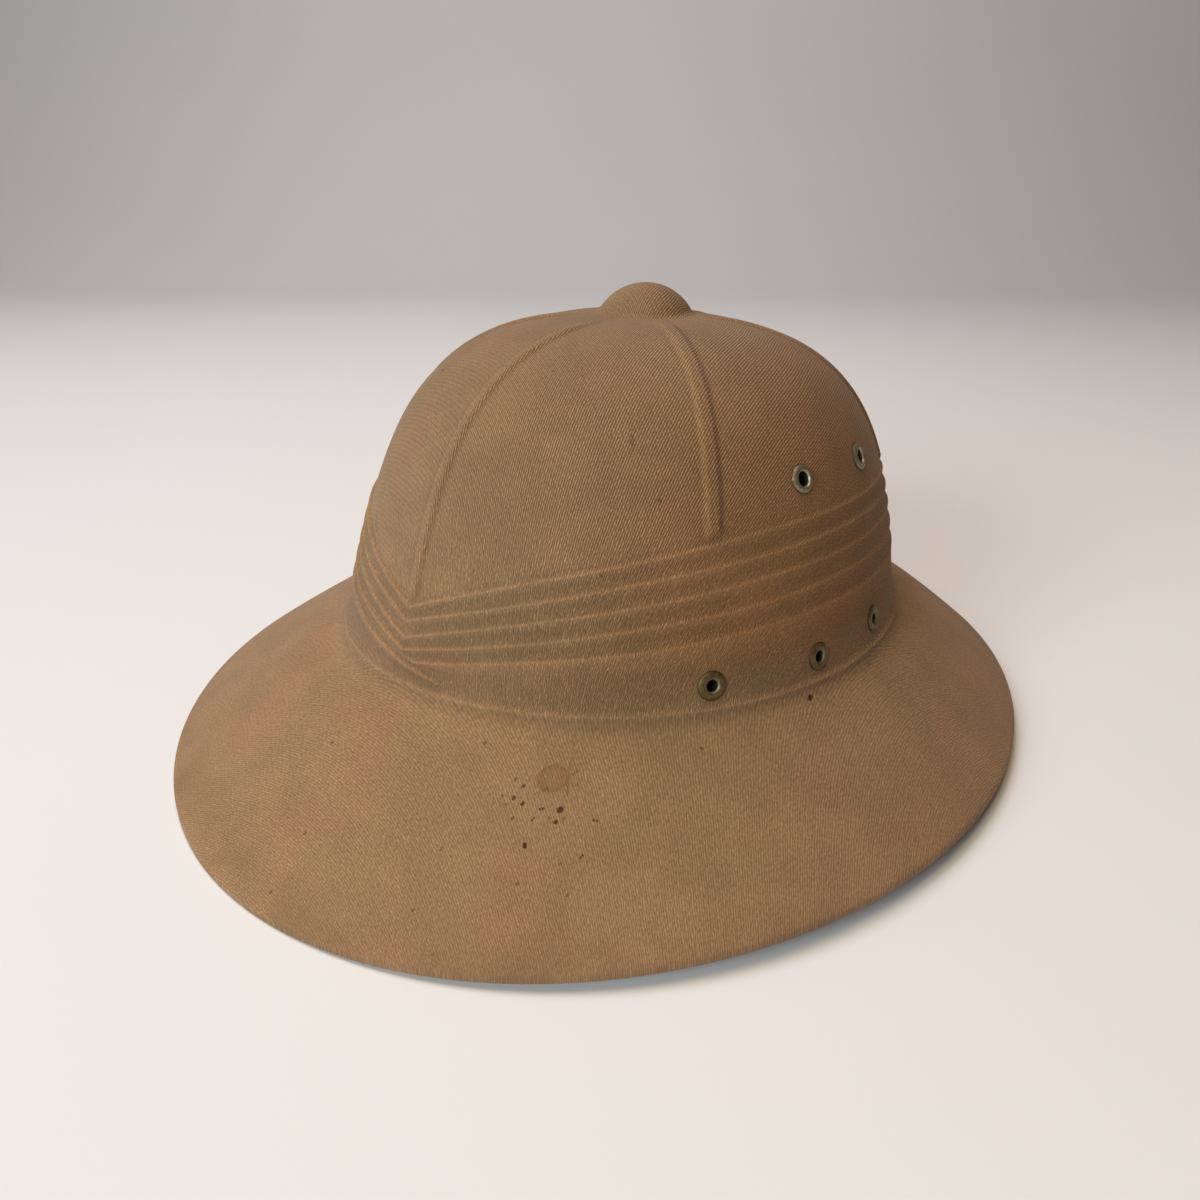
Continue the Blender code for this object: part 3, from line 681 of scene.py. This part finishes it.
twill_weave, mark = twill_weave_group(), mark_group()
khaki = bpy.data.materials.new("khaki_twill_cloth")
khaki.use_nodes = True
tree = khaki.node_tree
surface = tree.nodes["Principled BSDF"]
place = add_node(tree, "ShaderNodeTexCoord").outputs["Object"]
sideways, _, height = split_node(tree, place)
cloth = mapped_place(tree, "cloth")
# This map carries painted shade for creases and the neck, and rubbed wear with a painted highlight for
# crests.
crease_shade, crest, _ = split_node(tree, mapped_place(tree, "wear"))
weave = add_node(tree, "ShaderNodeGroup", node_tree=twill_weave)
tree.links.new(cloth, weave.inputs["Cloth"])

# The weave is crisp on the crown, and less so on the brim and the lower wall. The two maps of
# the cloth lie so far apart that the brim is told by its place across the lines.
BRIM_MAP_START = 0.3
CROWN_PITCH, BRIM_PITCH = 0.00084, 0.00072
CROWN_DISORDER, WALL_DISORDER, BRIM_DISORDER = 0.35, 2.0, 1.2
on_brim = math_node(tree, "GREATER_THAN", split_node(tree, cloth)[0], BRIM_MAP_START)
off_brim = math_node(tree, "SUBTRACT", 1.0, on_brim)
disorder = ramp_node(tree, height, 0.068, 0.098, WALL_DISORDER, CROWN_DISORDER)
disorder = math_node(tree, "MULTIPLY", disorder, off_brim)
disorder = math_node(tree, "MULTIPLY_ADD", on_brim, BRIM_DISORDER, disorder)
tree.links.new(disorder, weave.inputs["Disorder"])
pitch = math_node(tree, "MULTIPLY_ADD", on_brim, BRIM_PITCH - CROWN_PITCH, CROWN_PITCH)
tree.links.new(pitch, weave.inputs["Line pitch"])
muted = math_node(tree, "MAXIMUM", on_brim, ramp_node(tree, height, 0.070, 0.100, 0.5, 0.0))

WARM_KHAKI, OLIVE_KHAKI = (0.272, 0.165, 0.083, 1), (0.242, 0.157, 0.077, 1)
PINK_KHAKI = (0.290, 0.157, 0.085, 1)
# The tint below is painted shade: a deeper, warmer colour for the crown's side wall in shade.
SHADED_WALL_TINT = (0.93, 0.77, 0.56, 1)
PINK_SHIFT, BLOTCH_SHIFT = (3.1, 1.7, 0.4), (0.7, 2.3, 5.1)
olive = ramp_node(tree, noise_node(tree, place, 16.0), 0.46, 0.66, 0.0, 0.6)
colour = mix_colours(tree, olive, WARM_KHAKI, OLIVE_KHAKI)
pink = noise_node(tree, vector_node(tree, "ADD", place, PINK_SHIFT), 34.0)
colour = mix_colours(tree, ramp_node(tree, pink, 0.50, 0.68, 0.0, 0.55), colour, PINK_KHAKI)
# Painted shade: the crown's wall on the +X side, which stands in shade, takes that deeper tint.
shaded_wall_share = ramp_node(tree, sideways, 0.03, 0.10)
shaded_wall_share = math_node(tree, "MULTIPLY", shaded_wall_share, ramp_node(tree, height, 0.040, 0.052))
shaded_wall_colour = mix_colours(tree, 1.0, colour, SHADED_WALL_TINT, "MULTIPLY")
colour = mix_colours(tree, shaded_wall_share, colour, shaded_wall_colour)

# Light and dark of the threads (painted shade in their grooves and a painted highlight on their
# ridges), the blotches, the creases and the crests, one over the other.
GROOVE_SHADE_TONE, RIDGE_HIGHLIGHT_TONE, MUTED_GROOVE_SHADE, MUTED_RIDGE_HIGHLIGHT = 0.51, 1.32, 0.80, 1.12
CREST_WEAR_AND_HIGHLIGHT, CREASE_PAINTED_SHADE = 0.10, -0.16
groove_shade = math_node(tree, "MULTIPLY_ADD", muted, MUTED_GROOVE_SHADE - GROOVE_SHADE_TONE, GROOVE_SHADE_TONE)
ridge = math_node(tree, "MULTIPLY_ADD", muted, MUTED_RIDGE_HIGHLIGHT - RIDGE_HIGHLIGHT_TONE, RIDGE_HIGHLIGHT_TONE)
blotch = noise_node(tree, vector_node(tree, "ADD", place, BLOTCH_SHIFT), 60.0, 3.0, 0.6)
tone = ramp_node(tree, blotch, 0.3, 0.7, 0.93, 1.07)
for layer in (
    ramp_node(tree, weave.outputs["Height"], 0.0, 1.0, groove_shade, ridge),
    ramp_node(tree, weave.outputs["Slub"], 0.34, 0.66, 0.86, 1.14),
    # Crests: rubbed wear and a painted highlight. Creases and the neck's hollow: painted shade.
    math_node(tree, "MULTIPLY_ADD", crest, CREST_WEAR_AND_HIGHLIGHT, 1.0),
    math_node(tree, "MULTIPLY_ADD", crease_shade, CREASE_PAINTED_SHADE, 1.0),
):
    tone = math_node(tree, "MULTIPLY", tone, layer)
grey = add_node(tree, "ShaderNodeCombineXYZ", {0: tone, 1: tone, 2: tone}).outputs[0]
colour = mix_colours(tree, 1.0, colour, grey, "MULTIPLY")

# Stains on the cloth, and one dark disc of painted shade over the pin hole, by the pixels at which the
# picture shows them: each speck or dash has its start, its end, its width in metres and how dark it is.
Mark = namedtuple("Mark", "start end width darkness")
MARKS = (
    # The first mark is painted shade: a dark disc over the pin hole, whose inside lies in shade.
    Mark((810.8, 696.8), (811.2, 697.2), 0.0015, 1.0),
    Mark((513.4, 798.8), (514.0, 797.2), 0.0010, 0.75),
    Mark((522.0, 804.4), (523.3, 802.8), 0.0009, 0.85),
    Mark((540.0, 809.2), (543.0, 808.6), 0.0008, 0.75),
    Mark((559.6, 810.4), (560.8, 809.2), 0.0016, 0.85),
    Mark((555.2, 822.6), (556.2, 821.4), 0.0010, 0.85),
    Mark((511.8, 819.2), (513.4, 817.2), 0.0007, 0.65),
    Mark((532.0, 820.2), (533.6, 818.0), 0.0007, 0.7),
    Mark((524.8, 844.4), (524.8, 846.8), 0.0011, 0.9),
    Mark((593.4, 820.4), (596.8, 821.0), 0.0008, 0.7),
    Mark((523.0, 786.6), (524.0, 785.4), 0.0009, 0.7),
    Mark((515.2, 779.8), (516.2, 778.4), 0.0008, 0.55),
    Mark((580.6, 857.8), (582.6, 855.4), 0.0008, 0.7),
    Mark((502.3, 795.9), (502.8, 795.3), 0.0006, 0.55),
    Mark((505.0, 804.8), (506.4, 803.8), 0.0006, 0.45),
    Mark((549.2, 818.6), (549.6, 818.2), 0.0007, 0.4),
    Mark((563.6, 819.0), (564.2, 818.4), 0.0009, 0.4),
    Mark((484.6, 743.6), (485.4, 742.2), 0.0009, 0.6),
    Mark((560.0, 864.2), (560.8, 863.6), 0.0008, 0.4),
    Mark((440.0, 850.2), (443.2, 846.8), 0.0005, 0.55),
    Mark((304.6, 833.6), (305.4, 832.4), 0.0009, 0.55),
    Mark((331.6, 743.4), (332.4, 742.6), 0.0009, 0.55),
    Mark((516.6, 884.4), (517.4, 883.6), 0.0008, 0.5),
    Mark((270.6, 892.4), (271.4, 891.6), 0.0009, 0.5),
    Mark((567.6, 895.4), (568.4, 894.6), 0.0008, 0.45),
    Mark((412.6, 910.4), (413.4, 909.6), 0.0008, 0.45),
    Mark((631.8, 436.0), (632.6, 440.0), 0.0013, 0.34),
    Mark((630.0, 442.5), (633.0, 445.0), 0.0011, 0.30),
    Mark((628.2, 452.6), (631.2, 450.0), 0.0009, 0.26),
    Mark((659.0, 499.8), (660.0, 500.8), 0.0012, 0.45),
    Mark((553.0, 371.0), (554.0, 371.6), 0.0009, 0.5),
    Mark((644.8, 336.0), (646.2, 335.8), 0.0010, 0.4),
    Mark((601.0, 575.5), (602.2, 575.9), 0.0010, 0.45),
    Mark((435.0, 412.0), (435.8, 414.0), 0.0008, 0.4),
    Mark((442.4, 369.6), (443.6, 370.4), 0.0008, 0.45),
    Mark((666.6, 480.0), (667.4, 480.6), 0.0008, 0.4),
    Mark((701.2, 748.0), (701.8, 748.6), 0.0010, 0.6),
    Mark((567.6, 786.0), (567.9, 794.0), 0.00045, 0.5),
    Mark((572.5, 774.5), (578.0, 770.5), 0.0006, 0.4),
    Mark((569.0, 770.0), (570.2, 762.0), 0.0005, 0.3),
    Mark((573.0, 785.4), (577.5, 784.6), 0.0007, 0.35),
    Mark((543.6, 790.6), (546.8, 788.6), 0.0008, 0.45),
    Mark((376.0, 512.0), (377.5, 530.0), 0.0014, 0.22),
)
SPECK_BROWN = (0.046, 0.016, 0.004, 1)
LONG_MARK = 1.8
SPECK_FALL, SPECK_CENTRE, SPECK_LIMIT = -3.2, 2.1, 1.1


def speck_level(spot):
    """How much a stain covers: two soft discs side by side, or the mark group for a long one."""
    start, end = seen_at(*spot.start), seen_at(*spot.end)
    if (end - start).length > LONG_MARK * spot.width:
        masked = add_node(tree, "ShaderNodeGroup", node_tree=mark)
        tree.links.new(place, masked.inputs["Place"])
        for name, value in (("Start", start), ("End", end), ("Width", spot.width)):
            masked.inputs[name].default_value = value
        return math_node(tree, "MULTIPLY", masked.outputs["Mask"], spot.darkness)
    distances = [vector_node(tree, "DISTANCE", place, tuple(disc)) for disc in (start, end)]
    nearest = math_node(tree, "MINIMUM", *distances)
    fall, centre = SPECK_FALL * spot.darkness / spot.width, SPECK_CENTRE * spot.darkness
    level = math_node(tree, "MULTIPLY_ADD", nearest, fall, centre)
    return math_node(tree, "MINIMUM", level, min(1.0, SPECK_LIMIT * spot.darkness))


darkest = 0.0
for spot in MARKS:
    darkest = math_node(tree, "MAXIMUM", darkest, speck_level(spot))

# A drop that dried: a pale tan disc with a darker edge. Its outline wanders a little.
RING_PIXEL, RING_RADIUS, RING_EDGE, RING_RAGGEDNESS = (553.5, 778.0), 0.0042, 0.0004, 0.0022
RING_RIM_OUT, RING_RIM_IN = 0.0002, 0.0022
RING_FILL, RING_RIM = 0.26, 0.36
RING_TAN = (0.165, 0.080, 0.026, 1)
away = vector_node(tree, "DISTANCE", place, tuple(seen_at(*RING_PIXEL)))
ragged = noise_node(tree, place, 420.0, 2.0)
ragged = math_node(tree, "MULTIPLY_ADD", ragged, RING_RAGGEDNESS, -RING_RAGGEDNESS / 2)
away = math_node(tree, "ADD", away, ragged)
disc = ramp_node(tree, away, RING_RADIUS - RING_EDGE, RING_RADIUS + RING_EDGE, 1.0, 0.0)
rim = ramp_node(tree, away, RING_RADIUS - RING_RIM_IN, RING_RADIUS - RING_RIM_OUT)
rim = math_node(tree, "MULTIPLY_ADD", rim, RING_RIM, RING_FILL)
colour = mix_colours(tree, math_node(tree, "MULTIPLY", disc, rim), colour, RING_TAN)

# Fine scattered specks of dirt all over, and brown patches darker towards the rim.
DIRT_CELLS, DIRT_SHARE, DIRT_DARKNESS = 150.0, 0.88, 0.42
LOW_PATCH_BROWN, LOW_PATCH_DARKNESS = (0.150, 0.082, 0.042, 1), 0.30
spread = {"Vector": place, "Scale": DIRT_CELLS, "Randomness": 1.0}
cells = add_node(tree, "ShaderNodeTexVoronoi", spread, feature="F1").outputs
chosen = add_node(tree, "ShaderNodeSeparateColor", {0: cells["Color"]}).outputs
size = math_node(tree, "MULTIPLY_ADD", chosen[1], 0.055, 0.02)
dot = math_node(tree, "DIVIDE", cells["Distance"], size)
dot = ramp_node(tree, dot, 0.6, 1.2, DIRT_DARKNESS, 0.0)
kept = ramp_node(tree, chosen[0], DIRT_SHARE - 0.02, DIRT_SHARE + 0.02)
darkest = math_node(tree, "MAXIMUM", darkest, math_node(tree, "MULTIPLY", dot, kept))
colour = mix_colours(tree, darkest, colour, SPECK_BROWN)
near_rim = ramp_node(tree, height, 0.004, 0.012, LOW_PATCH_DARKNESS, 0.0)
patches = ramp_node(tree, noise_node(tree, place, 45.0, 3.0, 0.6), 0.42, 0.62)
low_patch_darkening = math_node(tree, "MULTIPLY", near_rim, patches)
colour = mix_colours(tree, low_patch_darkening, colour, LOW_PATCH_BROWN)
tree.links.new(colour, surface.inputs["Base Color"])

# The cloth's finish: dry and rough with a faint sheen, and its threads stand up as a bump.
WEAVE_DEPTH, SLUB_SHARE, MUTED_BUMP = 0.00016, 0.35, -0.5
roughness = ramp_node(tree, weave.outputs["Slub"], 0.3, 0.7, 0.96, 0.86)
tree.links.new(roughness, surface.inputs["Roughness"])
surface.inputs["Specular IOR Level"].default_value = 0.18
surface.inputs["Sheen Weight"].default_value = 0.10
surface.inputs["Sheen Roughness"].default_value = 0.5
relief = math_node(tree, "MULTIPLY_ADD", weave.outputs["Slub"], SLUB_SHARE, weave.outputs["Height"])
strength = math_node(tree, "MULTIPLY_ADD", muted, MUTED_BUMP, 1.0)
raised = {"Height": relief, "Strength": strength, "Distance": WEAVE_DEPTH}
bump = add_node(tree, "ShaderNodeBump", raised).outputs["Normal"]
tree.links.new(bump, surface.inputs["Normal"])
shell.data.materials.clear()
shell.data.materials.append(khaki)
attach(shell, "root")
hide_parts("helmet_shell")

# The eyelets: two-part rings turned from thin sheet. The low ones are dull brown brass with a
# broad flange, the high ones grey plated with a rolled lip. Their barrels are clinched inside.
CLINCH_DIAMETER, CLINCH_THICKNESS, CLINCH_LIP, CLINCH_INSET = 0.0070, 0.0006, 0.0003, 0.0001
EYELET_SIDES, CLINCH_STEPS, ROLLED_CREST = 72, 7, 0.001
# Half sections of the flanges: shares of the way from the bore out, and of the crest's height.
BROAD_FLANGE = (
    (0.00, 0.10), (0.03, 0.42), (0.09, 0.66), (0.17, 0.84), (0.27, 0.96), (0.38, 1.00), (0.50, 0.97),
    (0.63, 0.88), (0.76, 0.73), (0.87, 0.54), (0.95, 0.34), (1.00, 0.10), (0.985, 0.0), (0.94, 0.02),
)
ROLLED_FLANGE = (
    (0.00, 0.10), (0.03, 0.45), (0.09, 0.74), (0.18, 0.93), (0.29, 1.00), (0.42, 0.98), (0.55, 0.90),
    (0.68, 0.77), (0.80, 0.60), (0.90, 0.42), (0.97, 0.24), (1.00, 0.08), (0.985, 0.0), (0.94, 0.02),
)


def eyelet_section(vent, grip):
    """Half section of an eyelet as radius, height and share of the way out over its flange."""
    bore, flange = vent.bore / 2, vent.flange / 2
    section = ROLLED_FLANGE if vent.crest > ROLLED_CREST else BROAD_FLANGE
    points = [(blend(bore, flange, share), rise * vent.crest, share) for share, rise in section]
    barrel, clinch = bore + BARREL_WALL, CLINCH_DIAMETER / 2
    inside = [(barrel, 0.0), (barrel, -grip), (clinch - CLINCH_INSET, -grip)]
    bulge = CLINCH_THICKNESS / 2
    for angle in np.linspace(0, math.pi, CLINCH_STEPS):
        out, down = bulge * (math.sin(angle) - 1), bulge * (math.cos(angle) - 1)
        inside.append((clinch + out, -grip + down))
    inside += [(bore + CLINCH_LIP, -grip - CLINCH_THICKNESS), (bore, -grip - bulge)]
    return points + [(radius, height, 0.0) for radius, height in inside]


def turned_eyelet(name, vent, place, direction, grip):
    """The section swept round the vent's axis, seated on the cloth."""
    section = eyelet_section(vent, grip)
    turned = set_on(place, direction)
    points, count = [], len(section)
    for side in range(EYELET_SIDES):
        angle = 2 * math.pi * side / EYELET_SIDES
        points += [turned @ Vector((r * math.cos(angle), r * math.sin(angle), h)) for r, h, _ in section]
    sides, corners = [], []
    for side in range(EYELET_SIDES):
        here, following = side * count, (side + 1) % EYELET_SIDES * count
        for row in range(count):
            below = (row + 1) % count
            sides.append((here + row, here + below, following + below, following + row))
            start, end = side / EYELET_SIDES, (side + 1) / EYELET_SIDES
            high, low = section[row][2], section[below][2]
            corners += [(start, high), (start, low), (end, low), (end, high)]
    mesh = bpy.data.meshes.new(name)
    mesh.from_pydata(points, [], sides)
    mesh.uv_layers.new(name="turning").data.foreach_set("uv", np.array(corners).ravel())
    mesh.shade_smooth()
    eyelet = bpy.data.objects.new(name, mesh)
    bpy.context.scene.collection.objects.link(eyelet)
    return eyelet


def tarnish_group():
    """Tarnish on turned metal: clouds, a rubbed lip, grime and painted shade at the edge, painted shade
    in the bore.
    """
    group, given, result = new_group(
        "tarnish",
        (
            ("Place", "NodeSocketVector", None),
            ("Way out", "NodeSocketFloat", 0.0),
            ("Lip reach", "NodeSocketFloat", 0.3),
        ),
        ("Cloud", "Edge grime and shade", "Lip", "Bore", "Pits"),
    )
    cloud = noise_node(group, given["Place"], 700.0, 4.0, 0.6)
    way_out = given["Way out"]
    for name, value in (
        ("Cloud", ramp_node(group, cloud, 0.36, 0.64)),
        ("Edge grime and shade", ramp_node(group, way_out, 0.86, 0.99, 0.0, 0.8)),
        ("Lip", ramp_node(group, way_out, 0.02, given["Lip reach"], 0.85, 0.0)),
        ("Bore", ramp_node(group, way_out, 0.0, 0.06, 0.85, 0.0)),
        ("Pits", noise_node(group, given["Place"], 2600.0, 3.0, 0.7)),
    ):
        group.links.new(value, result[name])
    return group


tarnish = tarnish_group()


# Painted shade: the bore is painted near black all the way down, and the flange's outer edge is darkened
# where it meets the cloth, with some grime.
EDGE_GRIME_AND_SHADE, BORE_PAINTED_SHADE = (0.020, 0.013, 0.006, 1), (0.012, 0.009, 0.006, 1)
PIT_ROUGHNESS, PIT_DEPTH, METAL_SHARE = 0.3, 0.00005, 0.72


def eyelet_metal(name, body, cloud, lip, lip_reach, roughness):
    """Metal under tarnish, with a body colour, a cloud colour and a rubbed lip's colour."""
    material = bpy.data.materials.new(name)
    material.use_nodes = True
    nodes = material.node_tree
    shader = nodes.nodes["Principled BSDF"]
    film = add_node(nodes, "ShaderNodeGroup", node_tree=tarnish)
    nodes.links.new(add_node(nodes, "ShaderNodeTexCoord").outputs["Object"], film.inputs["Place"])
    nodes.links.new(split_node(nodes, mapped_place(nodes, "turning"))[1], film.inputs["Way out"])
    film.inputs["Lip reach"].default_value = lip_reach
    tint = mix_colours(nodes, film.outputs["Cloud"], body, cloud)
    # The edge layer is grime and painted shade; the bore layer is painted shade.
    for layer, layer_tint in (("Lip", lip), ("Edge grime and shade", EDGE_GRIME_AND_SHADE), ("Bore", BORE_PAINTED_SHADE)):
        tint = mix_colours(nodes, film.outputs[layer], tint, layer_tint)
    nodes.links.new(tint, shader.inputs["Base Color"])
    rough = math_node(nodes, "MULTIPLY_ADD", film.outputs["Pits"], PIT_ROUGHNESS, roughness)
    nodes.links.new(rough, shader.inputs["Roughness"])
    shader.inputs["Metallic"].default_value = METAL_SHARE
    pits = {"Height": film.outputs["Pits"], "Strength": 0.5, "Distance": PIT_DEPTH}
    nodes.links.new(add_node(nodes, "ShaderNodeBump", pits).outputs["Normal"], shader.inputs["Normal"])
    return material


brown_brass = eyelet_metal(
    "tarnished_brown_brass",
    body=(0.190, 0.130, 0.055, 1),
    cloud=(0.110, 0.082, 0.032, 1),
    lip=(0.260, 0.225, 0.150, 1),
    lip_reach=0.34,
    roughness=0.36,
)
grey_plate = eyelet_metal(
    "worn_grey_plate",
    body=(0.290, 0.255, 0.165, 1),
    cloud=(0.165, 0.145, 0.085, 1),
    lip=(0.400, 0.375, 0.285, 1),
    lip_reach=0.5,
    roughness=0.28,
)
for node_name, (vent, place_on_shell, direction, grip) in seats.items():
    high = vent.crest > ROLLED_CREST
    eyelet = turned_eyelet(f"turned_{node_name}", vent, place_on_shell, direction, grip)
    eyelet.data.materials.append(grey_plate if high else brown_brass)
    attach(eyelet, "root")
    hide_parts(node_name)

# The table that the helmet stands on: a wide pale sheet that curves up far behind the helmet.
# It isn't part of the helmet.
SHEET_FRONT, SHEET_BEND, SHEET_TOP, SHEET_HALF_WIDTH = -3.0, 1.3, 4.0, 5.0
BEND_RADIUS, BEND_STEPS = 0.9, 24
PAINT_DARK, PAINT_LIGHT = (0.72, 0.755, 0.79, 1), (0.76, 0.795, 0.83, 1)
sheet_line = [(SHEET_FRONT, 0.0), (SHEET_BEND, 0.0)]
for angle in np.linspace(0, math.pi / 2, BEND_STEPS + 1)[1:]:
    along, up = BEND_RADIUS * math.sin(angle), BEND_RADIUS * (1 - math.cos(angle))
    sheet_line.append((SHEET_BEND + along, up))
sheet_line.append((SHEET_BEND + BEND_RADIUS, SHEET_TOP))
corners = []
for along, up in sheet_line:
    for side in (-SHEET_HALF_WIDTH, SHEET_HALF_WIDTH):
        corners.append(away_from_camera * along + level * side + Vector((0, 0, up)))
sheet_mesh = bpy.data.meshes.new("pale_sheet")
strips = [(2 * row, 2 * row + 1, 2 * row + 3, 2 * row + 2) for row in range(len(sheet_line) - 1)]
sheet_mesh.from_pydata(corners, [], strips)
sheet_mesh.shade_smooth()
sheet = bpy.data.objects.new("pale_sheet", sheet_mesh)
paint = bpy.data.materials.new("pale_paint")
paint.use_nodes = True
paint_tree = paint.node_tree
paint_shader = paint_tree.nodes["Principled BSDF"]
paint_place = add_node(paint_tree, "ShaderNodeTexCoord").outputs["Object"]
paint_tone = noise_node(paint_tree, paint_place, 3.0, 4.0)
paint_colour = mix_colours(paint_tree, paint_tone, PAINT_DARK, PAINT_LIGHT)
paint_tree.links.new(paint_colour, paint_shader.inputs["Base Color"])
paint_shader.inputs["Roughness"].default_value = 0.7
sheet_mesh.materials.append(paint)
bpy.context.scene.collection.objects.link(sheet)

# Soft studio light: a window in front, one high on the left, and two weak warm lamps above
# and on the right, in a dim even room.
Light = namedtuple("Light", "name turn rise distance size power colour")
LIGHTS = (
    Light("front_window", -1, 20, 1.9, 0.9, 29, (0.90, 0.98, 1.0)),
    Light("left_window", -92, 69, 1.9, 1.0, 17.5, (0.92, 0.86, 0.94)),
    Light("top_lamp", 0, 86, 1.9, 1.0, 15, (1.0, 0.74, 0.42)),
    Light("right_lamp", 22, 25, 1.9, 1.0, 3.2, (1.0, 0.50, 0.24)),
)
AIM = Vector((0, 0, 0.06))
ROOM_COLOUR, ROOM_BRIGHTNESS = (1.0, 0.82, 0.66, 1), 0.05
for lamp in LIGHTS:
    lamp_data = bpy.data.lights.new(lamp.name, "AREA")
    lamp_data.size, lamp_data.energy, lamp_data.color = lamp.size, lamp.power, lamp.colour
    light = bpy.data.objects.new(lamp.name, lamp_data)
    turn, rise = math.radians(lamp.turn), math.radians(lamp.rise)
    flat = Vector((math.sin(turn), -math.cos(turn), 0))
    towards = flat * math.cos(rise) + Vector((0, 0, math.sin(rise)))
    light.location = AIM + towards * lamp.distance
    light.rotation_euler = towards.to_track_quat("Z", "Y").to_euler()
    bpy.context.scene.collection.objects.link(light)
room = bpy.data.worlds.new("pale_room")
room.use_nodes = True
room_light = room.node_tree.nodes["Background"]
room_light.inputs["Color"].default_value = ROOM_COLOUR
room_light.inputs["Strength"].default_value = ROOM_BRIGHTNESS
bpy.context.scene.world = room
bpy.context.scene.view_settings.view_transform = "Standard"
